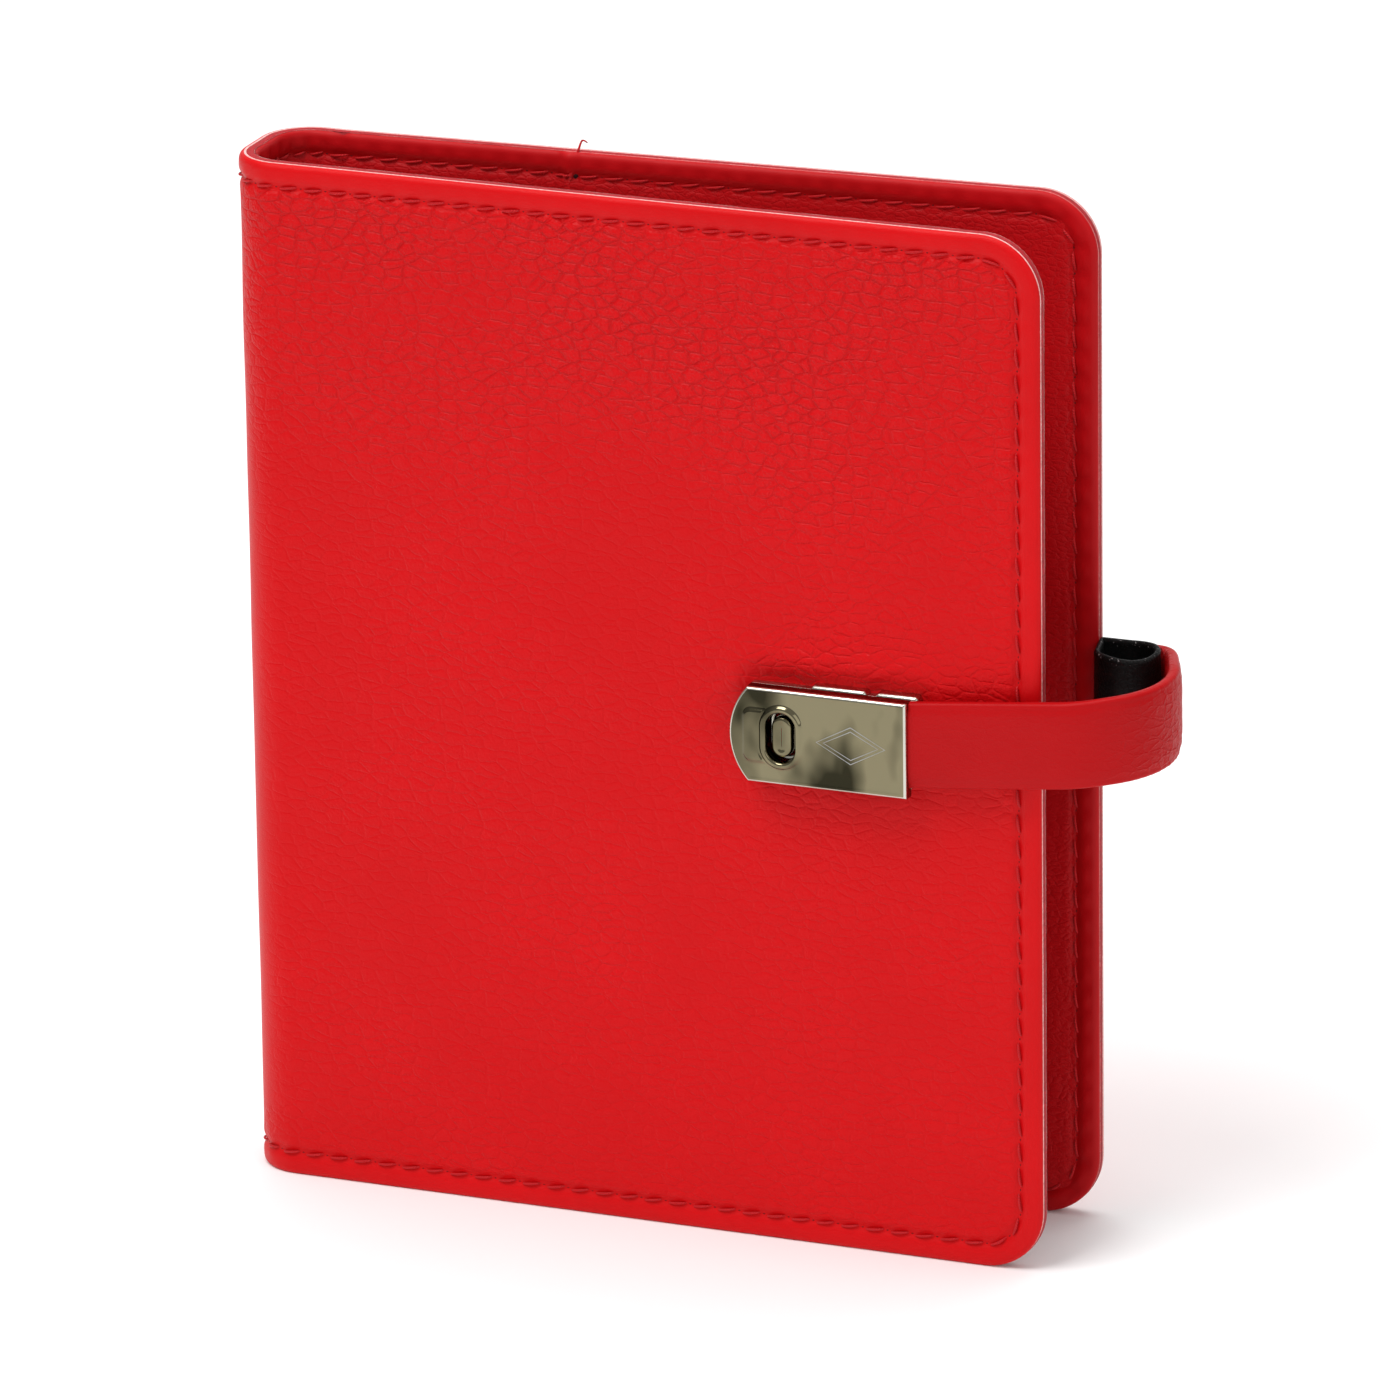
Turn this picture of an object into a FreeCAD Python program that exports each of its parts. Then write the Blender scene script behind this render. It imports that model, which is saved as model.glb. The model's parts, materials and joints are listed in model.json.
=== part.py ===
import FreeCAD, Part
import math
import os

os.makedirs("parts", exist_ok=True)

V = FreeCAD.Vector
UP = V(0, 0, 1)
AWAY = V(0, 1, 0)
ALONG = V(1, 0, 0)

# ---------------------------------------------------------------- driving sizes, millimetres
# Case: X runs from the spine to the open edge, Y from the front cover to the back, Z up.
COVER_WIDTH = 117.0        # spine's outside to the open edge
COVER_HEIGHT = 145.0
CASE_DEPTH = 19.6          # between the two outer faces at the spine
BACK_COVER_ANGLE = 3.0     # how far the back cover leans away from the front one, degrees
CORNER_RADIUS = 8.5        # at the covers' two open corners
SPINE_RADIUS = 7.0         # outside rounding of the spine

SKIN = 0.9                 # faux leather
BOARD = 1.2                # stiffening board
LINING = 0.5
WELT_WIDTH = 3.0           # strip that fills the hem between skin and lining
BOARD_GAP = 0.1            # board to welt

CREASE_FIT = 0.05          # covers' hollow ends round the crease bead
CREASE_TRIM = 0.15         # spine layers back from the bead

POCKET_SHEET = 0.5
POCKET_HOLLOW = 0.4
POCKET_HEM = 3.0
FRONT_POCKET_HEIGHT = 92.0
BACK_POCKET_START = 42.0   # folded edge of the back pocket, from the spine

# Ring mechanism
RING_BORE = 8.1            # inside diameter of a closed ring
RING_WIRE = 1.8
RING_CENTRE_X = 9.6
RING_PITCH_OUTER = 19.0
RING_PITCH_MIDDLE = 32.0
RING_SPLIT = 0.04          # between the closed tips
RAIL_LENGTH = 124.0
RAIL_WIDTH = 9.0
RAIL_SHEET = 0.6
RAIL_FOOT_X = 3.05
RAIL_TOP_X = 6.0
RAIL_TOP_WIDTH = 7.0
CARRIER_SHEET = 0.6
CARRIER_X = 3.75
CARRIER_LENGTH = 114.0
CARRIER_GAP = 0.1
CARRIER_CLEARANCE = 0.35   # carriers' outer edges to the rail
RING_SLOT_CLEARANCE = 0.35
RIVET_SHANK = 1.4          # radius
RIVET_HEAD = 2.5           # radius
RIVET_OFFSET = 44.5        # from mid height
LEVER_SHEET = 0.7
LEVER_WIDTH = 4.4
LEVER_PIN_RADIUS = 0.5
LEVER_BARREL = 0.4         # wall round the pin
LEVER_PIN_FIT = 0.05

# Pages
PAGE_WIDTH = 81.0
PAGE_HEIGHT = 120.0
STACK = 2.8                # thickness of each of the two stacks
STACK_GAP = 0.3            # between the stacks
PAGE_HOLE = 5.5            # punched hole diameter
PAGE_MARGIN = 4.4          # page edge to hole centre

# Strap
STRAP_WIDTH = 12.1
STRAP_LEATHER = 1.2
STRAP_LINING = 0.9
STRAP_LOCK_Z = 74.2        # strap's middle where it leaves the lock plate
STRAP_CLIMB = 6.2          # degrees it climbs from there to the open edge
STRAP_BEND_Z = 77.8        # strap's middle where it leaves the bend
STRAP_ROOT_Z = 75.4        # strap's middle on the back cover
STRAP_STAND_OFF = 3.2      # strap's bend, beyond half the case's depth
STRAP_BEND_RADIUS = CASE_DEPTH / 2 + STRAP_STAND_OFF   # outside face, round the open edge
STRAP_REACH = 15.85        # outside of the bend, beyond the open edge
STRAP_ROOT = 38.0          # length of the straight part, mostly sewn to the back cover
STRAP_FREE = 2.5           # how much of that passes the cover's edge
STRAP_SKIVED = 1.1         # strap's thickness inside the lock plate
STRAP_TUCK = 11.5          # length of strap held in the lock plate

# Lock
PLATE_LENGTH = 25.4
PLATE_HEIGHT = 13.4
PLATE_END = 17.5           # plate's strap end, from the open edge
PLATE_CENTRE_Z = 73.6
PLATE_SHEET = 0.7
PLATE_FACE = 4.3           # front of the plate above the cover
PLATE_BACK = 2.3           # back of the plate's rim above the cover
PLATE_RIM = 0.8
PLATE_BULGE = 2.6          # how far the free end curves out
COLLAR_HEIGHT = 0.4
COLLAR_WALL = 0.6
HOLE_LENGTH = 7.0          # oval hole for the button
HOLE_WIDTH = 4.2
BUTTON_CENTRE = 35.4       # button's centre, from the open edge
BUTTON_CLEARANCE = 0.65    # button to the plate's hole
BUTTON_TOP = 4.1           # above the cover
BUTTON_TRAVEL = 1.85
BUTTON_FIT = 0.05          # button in the lock base
BUTTON_FLANGE = 0.45       # wider and thinner flange under the button
FLANGE_CLEARANCE = 0.3     # flange to the cavity it moves in
BUTTON_DOME = 0.3
BASE_LENGTH = 24.1
BASE_HEIGHT = 12.6
BASE_END = 16.7            # base's end, from the open edge
LUG_START = 32.1           # where the base's first lug starts, from the open edge
LUG_NOTCH = 24.1           # notch between the two lugs, from the open edge
LUG_RISE = 0.65            # lugs above the rest of the base
LUG_REACH = 1.2            # lugs past its end
BASE_FLANGE = 1.2
BASE_HOUSING = 1.8         # raised part round the button, above the cover
HOUSING_LENGTH = 11.0
HOUSING_ROOF = 0.6
LUG_GAP = 1.3              # notch between the base's two lugs
BACKING_SHEET = 0.4
BACKING_LENGTH = 20.0
BACKING_HEIGHT = 10.0
PRONG = 0.8                # side of a square prong
SPRING_SHEET = 0.2         # arched leaf spring under the button
SPRING_SPAN = 5.6
SPRING_WIDTH = 1.6
LOCK_RIVET_SHANK = 0.7
CLAMP_SHEET = 0.4

# Pen loop
LOOP_SHEET = 0.8
LOOP_RADIUS = 3.7          # inside
LOOP_INSET = 5.2           # loop's centre, inward from the back cover's outer face
LOOP_REACH = 9.4           # beyond the open edge
LOOP_HEIGHT = 14.0
LOOP_CENTRE_Z = 76.0
LOOP_TAIL = 7.0            # sewn length inside the cover

# ---------------------------------------------------------------- derived sizes
COVER = SKIN + BOARD + LINING
BEAD = COVER / 2
CREASE_X = SPINE_RADIUS + COVER + 0.2
FRONT_CREASE = V(CREASE_X, BEAD, 0)
BACK_CREASE = V(CREASE_X, CASE_DEPTH - BEAD, 0)
MID_Y = CASE_DEPTH / 2
MID_Z = COVER_HEIGHT / 2
RING_MEAN = (RING_BORE + RING_WIRE) / 2
RING_HEIGHTS = [MID_Z + side * (RING_PITCH_MIDDLE / 2 + step * RING_PITCH_OUTER)
                for side in (-1, 1) for step in (0, 1, 2)]
STRAP = STRAP_LEATHER + STRAP_LINING
LEAN = math.radians(BACK_COVER_ANGLE)
STRAP_FRONT = PLATE_FACE - PLATE_SHEET
BEND_CENTRE = V(COVER_WIDTH + STRAP_REACH - STRAP_BEND_RADIUS,
                STRAP_BEND_RADIUS - STRAP_FRONT, 0)
BUTTON_X = COVER_WIDTH - BUTTON_CENTRE
BUTTON_WIDTH = HOLE_WIDTH - 2 * BUTTON_CLEARANCE
BUTTON_LENGTH = HOLE_LENGTH - 2 * BUTTON_CLEARANCE

nodes = {}


# ---------------------------------------------------------------- helpers
def box(x0, x1, y0, y1, z0, z1):
    return Part.makeBox(x1 - x0, y1 - y0, z1 - z0, V(x0, y0, z0))


def rod(radius, base, axis, length):
    return Part.makeCylinder(radius, length, base, axis)


def outline_face(points):
    return Part.Face(Part.makePolygon(points + [points[0]]))


def panel(x0, x1, y0, y1, z0, z1, radius):
    """Upright sheet between y0 and y1 whose two corners on the +X side are rounded."""
    solid = box(x0, x1, y0, y1, z0, z1)
    if radius <= 0:
        return solid
    edges = [e for e in solid.Edges
             if abs(e.Vertexes[0].X - x1) < 1e-6 and abs(e.Vertexes[1].X - x1) < 1e-6
             and abs(e.Vertexes[0].Z - e.Vertexes[1].Z) < 1e-6]
    return solid.makeFillet(radius, edges)


def stadium(x, z, width, length, y0, y1):
    """Oval prism along Y, taller than wide."""
    half = length / 2 - width / 2
    middle = box(x - width / 2, x + width / 2, y0, y1, z - half, z + half)
    ends = [rod(width / 2, V(x, y0, z + s * half), AWAY, y1 - y0) for s in (-1, 1)]
    return middle.fuse(ends).removeSplitter()


def to_back(shape):
    """Mirror a piece made for the front cover onto the leaning back cover."""
    copy = shape.mirror(V(0, MID_Y, 0), AWAY)
    copy.rotate(BACK_CREASE, UP, BACK_COVER_ANGLE)
    return copy


def lean(shape):
    """Turn a piece made on the unturned back cover with that cover."""
    copy = shape.copy()
    copy.rotate(BACK_CREASE, UP, BACK_COVER_ANGLE)
    return copy


def round_tube(inner, outer, x_end):
    """Spine layer between two distances from the outside: a flat back with rounded corners."""
    def solid(inset):
        r = SPINE_RADIUS - inset
        block = box(inset, x_end + 20, inset, CASE_DEPTH - inset, 0, COVER_HEIGHT)
        edges = [e for e in block.Edges
                 if abs(e.Vertexes[0].X - inset) < 1e-6 and abs(e.Vertexes[1].X - inset) < 1e-6
                 and abs(e.Vertexes[0].Y - e.Vertexes[1].Y) < 1e-6]
        return block.makeFillet(r, edges)
    shell = solid(outer).cut(solid(inner))
    return shell.common(box(-1, x_end, -1, CASE_DEPTH + 1, 0, COVER_HEIGHT))


# ---------------------------------------------------------------- covers
crease_hollow = rod(BEAD + CREASE_FIT, FRONT_CREASE, UP, COVER_HEIGHT)
Z_TOP = COVER_HEIGHT


def cover_skin():
    return panel(CREASE_X, COVER_WIDTH, 0, SKIN, 0, Z_TOP, CORNER_RADIUS).cut(crease_hollow)


def cover_lining():
    sheet = panel(CREASE_X, COVER_WIDTH, SKIN + BOARD, COVER, 0, Z_TOP, CORNER_RADIUS)
    return sheet.cut(crease_hollow)


def cover_welt():
    full = panel(CREASE_X, COVER_WIDTH, SKIN, SKIN + BOARD, 0, Z_TOP, CORNER_RADIUS)
    inner = panel(CREASE_X - 1, COVER_WIDTH - WELT_WIDTH, SKIN, SKIN + BOARD,
                  WELT_WIDTH, Z_TOP - WELT_WIDTH, CORNER_RADIUS - WELT_WIDTH)
    return full.cut(inner).cut(crease_hollow)


def cover_board():
    inset = WELT_WIDTH + BOARD_GAP
    sheet = panel(CREASE_X, COVER_WIDTH - inset, SKIN, SKIN + BOARD,
                  inset, Z_TOP - inset, CORNER_RADIUS - inset)
    return sheet.cut(crease_hollow)


def pocket(x0, x1, z0, z1, open_side, radius):
    """Sheet sewn to the lining on three sides; the side named is left open."""
    outer = panel(x0, x1, COVER, COVER + POCKET_HOLLOW + POCKET_SHEET, z0, z1, radius)
    hx0 = x0 - 1 if open_side == "spine" else x0 + POCKET_HEM
    hz1 = z1 + 1 if open_side == "top" else z1 - POCKET_HEM
    hollow = box(hx0, x1 - POCKET_HEM, COVER, COVER + POCKET_HOLLOW, z0 + POCKET_HEM, hz1)
    return outer.cut(hollow)


front_skin = cover_skin()
front_board = cover_board()
front_lining = cover_lining()

# Lock base: flange, housing, prongs
base_x1 = COVER_WIDTH - BASE_END
base_x0 = base_x1 - BASE_LENGTH
base_z0 = PLATE_CENTRE_Z - BASE_HEIGHT / 2
base_z1 = PLATE_CENTRE_Z + BASE_HEIGHT / 2
lug_x = COVER_WIDTH - LUG_NOTCH
lug_z1 = base_z1 + LUG_RISE
flange = box(base_x0, base_x1 - LUG_REACH, -BASE_FLANGE, 0, base_z0, base_z1)
lugs = box(COVER_WIDTH - LUG_START, base_x1, -BASE_FLANGE, 0, PLATE_CENTRE_Z + 4.0, lug_z1)
flange = flange.fuse(lugs).removeSplitter()
flange = flange.cut(box(lug_x, lug_x + LUG_GAP, -BASE_FLANGE - 1, 1, lug_z1 - 2.0, lug_z1 + 1))
housing = box(BUTTON_X - HOUSING_LENGTH / 2, BUTTON_X + HOUSING_LENGTH / 2,
              -BASE_HOUSING, 0, base_z0 + 0.6, base_z1 - 0.6)
cavity_width = BUTTON_WIDTH + 2 * (BUTTON_FLANGE + FLANGE_CLEARANCE)
cavity_length = BUTTON_LENGTH + 2 * (BUTTON_FLANGE + FLANGE_CLEARANCE)
cavity = stadium(BUTTON_X, PLATE_CENTRE_Z, cavity_width, cavity_length,
                 -BASE_HOUSING + HOUSING_ROOF, COVER - LINING - BACKING_SHEET)
guide = stadium(BUTTON_X, PLATE_CENTRE_Z, BUTTON_WIDTH + 2 * BUTTON_FIT,
                BUTTON_LENGTH + 2 * BUTTON_FIT, -BASE_HOUSING - 1, 1)
prong_reach = COVER - LINING
prongs = [box(px - PRONG / 2, px + PRONG / 2, -BASE_FLANGE / 2, prong_reach,
              pz - PRONG / 2, pz + PRONG / 2)
          for px in (base_x0 + 2.4, base_x1 - 4.0)
          for pz in (PLATE_CENTRE_Z - 4.0, PLATE_CENTRE_Z + 4.0)]
lock_base = flange.fuse([housing] + prongs).removeSplitter().cut(cavity).cut(guide)
nodes["lock_base"] = lock_base

backing_x0 = base_x0 + 0.8
backing_y0 = COVER - LINING - BACKING_SHEET
backing = box(backing_x0, backing_x0 + BACKING_LENGTH, backing_y0, backing_y0 + BACKING_SHEET,
              PLATE_CENTRE_Z - BACKING_HEIGHT / 2, PLATE_CENTRE_Z + BACKING_HEIGHT / 2)
prong_set = prongs[0].fuse(prongs[1:])
nodes["lock_backing"] = backing.cut(prong_set)

for_lock = [cavity, prong_set]
front_skin = front_skin.cut(for_lock)
front_board = front_board.cut(for_lock + [backing])

nodes["front_cover_skin"] = front_skin
nodes["front_cover_board"] = front_board
nodes["front_edge_welt"] = cover_welt()
nodes["front_cover_lining"] = front_lining
nodes["front_card_pocket"] = pocket(24.0, COVER_WIDTH - 1.0, 1.0, FRONT_POCKET_HEIGHT, "top",
                                    CORNER_RADIUS - 1.0).common(
    panel(23.0, COVER_WIDTH - 1.0, 0, 20, 1.0, Z_TOP - 1.0, CORNER_RADIUS - 1.0))

# Pen loop: an elastic strip folded into a teardrop, both ends sewn between board and lining
loop_z0 = LOOP_CENTRE_Z - LOOP_HEIGHT / 2
loop_centre = V(COVER_WIDTH + LOOP_REACH - LOOP_RADIUS - LOOP_SHEET, LOOP_INSET, loop_z0)
tail_y = (SKIN + COVER - LINING) / 2


def teardrop(radius, x_point, z0, height):
    """Round prism with a wedge running from it to a point at the open edge."""
    point = V(x_point, tail_y + (LOOP_INSET - tail_y) * (x_point - COVER_WIDTH) / 6, z0)
    reach = loop_centre - V(point.x, point.y, loop_centre.z)
    reach.z = 0
    distance = reach.Length
    spread = math.asin(radius / distance)
    side = math.sqrt(distance ** 2 - radius ** 2)
    heading = math.atan2(reach.y, reach.x)
    corners = [point + V(side * math.cos(heading + s * spread), side * math.sin(heading + s * spread), 0)
               for s in (-1, 1)]
    wedge = outline_face([point] + corners).extrude(V(0, 0, height))
    round_part = rod(radius, V(loop_centre.x, loop_centre.y, z0), UP, height)
    return wedge.fuse(round_part).removeSplitter()


tail = box(COVER_WIDTH - LOOP_TAIL, COVER_WIDTH + 1.6, SKIN, COVER - LINING, loop_z0, loop_z0 + LOOP_HEIGHT)
outer_loop = teardrop(LOOP_RADIUS + LOOP_SHEET, COVER_WIDTH - 1.5, loop_z0, LOOP_HEIGHT)
outer_loop = outer_loop.cut(box(0, COVER_WIDTH + 0.05, -20, 20, 0, COVER_HEIGHT))
inner_loop = teardrop(LOOP_RADIUS, COVER_WIDTH + 0.9, loop_z0 - 1, LOOP_HEIGHT + 2)
pen_loop = outer_loop.fuse(tail).removeSplitter().cut(inner_loop)
loop_tail = tail
nodes["pen_loop"] = to_back(pen_loop)

nodes["back_cover_skin"] = to_back(cover_skin().cut(loop_tail))
nodes["back_cover_board"] = to_back(cover_board().cut(loop_tail))
nodes["back_edge_welt"] = to_back(cover_welt().cut(loop_tail))
nodes["back_cover_lining"] = to_back(cover_lining())
nodes["back_pocket"] = to_back(pocket(BACK_POCKET_START, COVER_WIDTH - 1.0, 1.0, Z_TOP - 1.0,
                                      "spine", CORNER_RADIUS - 1.0))

# ---------------------------------------------------------------- spine
beads = [rod(BEAD, centre, UP, COVER_HEIGHT) for centre in (FRONT_CREASE, BACK_CREASE)]
clear = [rod(BEAD + CREASE_TRIM, centre, UP, COVER_HEIGHT) for centre in (FRONT_CREASE, BACK_CREASE)]
nodes["spine_skin"] = round_tube(SKIN, 0, CREASE_X).cut(clear)
spine_core = round_tube(SKIN + BOARD, SKIN, CREASE_X)
board_x = SPINE_RADIUS - 1.0
spine_board = spine_core.common(box(-1, board_x, -1, CASE_DEPTH + 1, WELT_WIDTH + BOARD_GAP,
                                    COVER_HEIGHT - WELT_WIDTH - BOARD_GAP))
spine_hem = spine_core.cut(box(-1, board_x + BOARD_GAP, -1, CASE_DEPTH + 1, WELT_WIDTH,
                               COVER_HEIGHT - WELT_WIDTH))
nodes["spine_edge_welt"] = spine_hem.cut(clear)
spine_lining = round_tube(COVER, SKIN + BOARD, CREASE_X)
spine_lining = spine_lining.fuse(beads).removeSplitter()

# ---------------------------------------------------------------- ring mechanism
rail_z0 = MID_Z - RAIL_LENGTH / 2
rail_z1 = MID_Z + RAIL_LENGTH / 2


def rail_section(offset):
    half = RAIL_WIDTH / 2 - offset
    top = RAIL_TOP_WIDTH / 2 - offset * 0.5
    foot = RAIL_FOOT_X - (1.0 if offset else 0)
    return outline_face([V(foot, MID_Y - half, rail_z0), V(foot, MID_Y + half, rail_z0),
                         V(RAIL_FOOT_X + 0.9, MID_Y + half, rail_z0),
                         V(RAIL_TOP_X - offset, MID_Y + top, rail_z0),
                         V(RAIL_TOP_X - offset, MID_Y - top, rail_z0),
                         V(RAIL_FOOT_X + 0.9, MID_Y - half, rail_z0)])


rail_block = rail_section(0).extrude(V(0, 0, RAIL_LENGTH))
rail = rail_block.cut(rail_section(RAIL_SHEET).extrude(V(0, 0, RAIL_LENGTH)))

rivet_heights = (MID_Z - RIVET_OFFSET, MID_Z + RIVET_OFFSET)
rivet_list = []
for z in rivet_heights:
    shank = rod(RIVET_SHANK, V(SKIN, MID_Y, z), ALONG, RAIL_TOP_X - SKIN)
    foot = rod(RIVET_HEAD, V(SKIN, MID_Y, z), ALONG, 0.4)
    head = rod(RIVET_HEAD, V(RAIL_TOP_X, MID_Y, z), ALONG, 0.6)
    rivet_list.append(shank.fuse([foot, head]).removeSplitter())
rivets = Part.makeCompound(rivet_list)
nodes["rail_rivets"] = rivets
nodes["spine_board"] = spine_board.cut(rivet_list)
nodes["spine_lining"] = spine_lining.cut(rivet_list)

carrier_z0 = MID_Z - CARRIER_LENGTH / 2
carrier_edge = RAIL_WIDTH / 2 - RAIL_SHEET - CARRIER_CLEARANCE


def ring_half(z):
    """Half ring on the front side, from its shank in the carrier to its tip."""
    start = 205.0
    a = math.radians(start)
    centre = V(RING_CENTRE_X, MID_Y, z)
    arc = Part.makeCircle(RING_MEAN, centre, UP, start, 360)
    p = V(centre.x + RING_MEAN * math.cos(a), centre.y + RING_MEAN * math.sin(a), z)
    section = Part.Wire(Part.makeCircle(RING_WIRE / 2, p, V(-math.sin(a), math.cos(a), 0)))
    curved = Part.Wire(arc).makePipe(Part.Face(section))
    foot = V(CARRIER_X, p.y - 0.2, z)
    shank = rod(RING_WIRE / 2, foot, p.sub(foot), p.sub(foot).Length)
    knee = Part.makeSphere(RING_WIRE / 2, p)
    keep = box(CARRIER_X, RING_CENTRE_X + 20, MID_Y - 30, MID_Y - RING_SPLIT / 2, z - 5, z + 5)
    return curved.fuse([shank, knee]).removeSplitter().common(keep)


wires_front = [ring_half(z) for z in RING_HEIGHTS]
# Each carrier's outer edge is rounded over, and it rolls about the middle of that round.
carrier_round = CARRIER_SHEET / 2
carrier_hinge = carrier_edge - carrier_round
carrier = box(CARRIER_X, CARRIER_X + CARRIER_SHEET, MID_Y - carrier_hinge, MID_Y - CARRIER_GAP / 2,
              carrier_z0, carrier_z0 + CARRIER_LENGTH)
carrier = carrier.fuse(rod(carrier_round, V(CARRIER_X + carrier_round, MID_Y - carrier_hinge, carrier_z0),
                           UP, CARRIER_LENGTH)).removeSplitter()
for z in rivet_heights:
    carrier = carrier.cut(rod(RIVET_SHANK + 1.0, V(0, MID_Y, z), ALONG, 10))
carrier = carrier.cut(wires_front)
nodes["ring_carrier_front"] = carrier
nodes["ring_wires_front"] = Part.makeCompound(wires_front)
nodes["ring_carrier_back"] = carrier.mirror(V(0, MID_Y, 0), AWAY)
nodes["ring_wires_back"] = Part.makeCompound([w.mirror(V(0, MID_Y, 0), AWAY) for w in wires_front])

slot_half = RING_WIRE / 2 + RING_SLOT_CLEARANCE
for z in RING_HEIGHTS:
    for y0, y1 in ((MID_Y - 5.0, MID_Y - 0.85), (MID_Y + 0.85, MID_Y + 5.0)):
        rail = rail.cut(box(CARRIER_X + CARRIER_SHEET + 0.05, RAIL_TOP_X + 1, y0, y1,
                            z - slot_half, z + slot_half))

# Levers: a flat tongue in each end of the rail, bent up into a thumb tab
lever_pin_x = CARRIER_X + 0.6
levers = {}
pins = []
for name, side, end in (("lever_top", 1, rail_z1), ("lever_bottom", -1, rail_z0)):
    inner = end - side * 3.6
    outer = end + side * 4.6
    pivot = V(lever_pin_x, MID_Y - LEVER_WIDTH / 2, end - side * 2.2)
    z0, z1 = min(inner, outer), max(inner, outer)
    tongue = box(lever_pin_x - LEVER_SHEET / 2, lever_pin_x + LEVER_SHEET / 2,
                 MID_Y - LEVER_WIDTH / 2, MID_Y + LEVER_WIDTH / 2, z0, z1)
    tab_z = sorted((outer, outer - side * LEVER_SHEET))
    tab = box(lever_pin_x - LEVER_SHEET / 2, lever_pin_x + 4.2,
              MID_Y - LEVER_WIDTH / 2, MID_Y + LEVER_WIDTH / 2, tab_z[0], tab_z[1])
    tab = tab.makeFillet(1.6, [e for e in tab.Edges
                               if abs(e.Vertexes[0].X - lever_pin_x - 4.2) < 1e-6
                               and abs(e.Vertexes[1].X - lever_pin_x - 4.2) < 1e-6
                               and abs(e.Vertexes[0].Y - e.Vertexes[1].Y) < 1e-6])
    barrel = rod(LEVER_PIN_RADIUS + LEVER_BARREL, pivot, AWAY, LEVER_WIDTH)
    eye = rod(LEVER_PIN_RADIUS + LEVER_PIN_FIT, pivot, AWAY, LEVER_WIDTH)
    levers[name] = tongue.fuse([tab, barrel]).removeSplitter().cut(eye)
    pin = rod(LEVER_PIN_RADIUS, V(lever_pin_x, MID_Y - RAIL_WIDTH, pivot.z), AWAY, 2 * RAIL_WIDTH)
    pins.append(pin.common(rail_block))
nodes.update(levers)
for z in rivet_heights:
    rail = rail.cut(rod(RIVET_SHANK, V(0, MID_Y, z), ALONG, 10))
nodes["ring_rail"] = rail.cut(pins)
nodes["lever_pins"] = Part.makeCompound(pins)

# ---------------------------------------------------------------- pages
page_x0 = RING_CENTRE_X + 0.2
page_z0 = MID_Z - PAGE_HEIGHT / 2


def stack(y0, y1):
    leaf = panel(page_x0, page_x0 + PAGE_WIDTH, y0, y1, page_z0, page_z0 + PAGE_HEIGHT, 3.0)
    for z in RING_HEIGHTS:
        leaf = leaf.cut(rod(PAGE_HOLE / 2, V(page_x0 + PAGE_MARGIN, y0 - 1, z), AWAY, y1 - y0 + 2))
    return leaf


nodes["front_pages"] = stack(MID_Y - STACK_GAP / 2 - STACK, MID_Y - STACK_GAP / 2)
nodes["back_pages"] = stack(MID_Y + STACK_GAP / 2, MID_Y + STACK_GAP / 2 + STACK)

# ---------------------------------------------------------------- strap
root_end = lean(Part.Vertex(COVER_WIDTH + STRAP_FREE, CASE_DEPTH, 0)).Point
root_dir = V(math.cos(LEAN), math.sin(LEAN), 0)
root_out = V(-math.sin(LEAN), math.cos(LEAN), 0)


def polar(radius, angle):
    a = math.radians(angle)
    return BEND_CENTRE + V(radius * math.cos(a), radius * math.sin(a), 0)


SPLIT_LOW = -56.0          # where the front part of the strap starts, degrees round the bend
SPLIT_HIGH = 22.0          # where the shoulder from the back cover ends
SHOULDER_PULL = 8.0        # how far the shoulder runs on before it turns
SHOULDER_TURN = 10.0       # how far it runs straight into the bend

plate_x1 = COVER_WIDTH - PLATE_END
plate_x0 = plate_x1 - PLATE_LENGTH
strap_middle = {"lock": V(plate_x1, -STRAP_FRONT + STRAP / 2, STRAP_LOCK_Z),
                "front": polar(STRAP_BEND_RADIUS - STRAP / 2, SPLIT_LOW),
                "bend": polar(STRAP_BEND_RADIUS - STRAP / 2, SPLIT_HIGH) + V(0, 0, STRAP_BEND_Z),
                "shoulder": root_end + root_out * (STRAP / 2) + V(0, 0, STRAP_ROOT_Z)}
climb = (strap_middle["front"].x - plate_x1) * math.tan(math.radians(STRAP_CLIMB))
strap_middle["front"].z = STRAP_LOCK_Z + climb


def strap_run(path, p, q):
    """Strip of the strap from its outline seen from above; its middle climbs evenly from p to q."""
    face = Part.Face(Part.Wire(Part.__sortEdges__(path)))
    tall = face.extrude(V(0, 0, 2 * COVER_HEIGHT))
    run = V(q.x - p.x, q.y - p.y, 0)
    rise = (q.z - p.z) / run.Length
    along = run / run.Length
    side = V(-along.y, along.x, 0) * 80
    half = STRAP_WIDTH / 2 * math.sqrt(1 + rise ** 2)
    reach = 80
    ends = ((-reach, -half), (run.Length + reach, -half), (run.Length + reach, half), (-reach, half))
    corners = [V(p.x, p.y, p.z) + along * t + V(0, 0, rise * t + h) - side for t, h in ends]
    return tall.common(outline_face(corners).extrude(side * 2))


def front_outline(path):
    return strap_run(path, V(plate_x1, 0, STRAP_LOCK_Z),
                     V(strap_middle["front"].x, 0, strap_middle["front"].z))


def arc_strip(r_in, r_out, a0, a1):
    am = (a0 + a1) / 2
    edges = [Part.Arc(polar(r_out, a0), polar(r_out, am), polar(r_out, a1)).toShape(),
             Part.makeLine(polar(r_out, a1), polar(r_in, a1)),
             Part.Arc(polar(r_in, a1), polar(r_in, am), polar(r_in, a0)).toShape(),
             Part.makeLine(polar(r_in, a0), polar(r_out, a0))]
    return strap_run(edges, strap_middle["front"], strap_middle["bend"])


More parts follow.
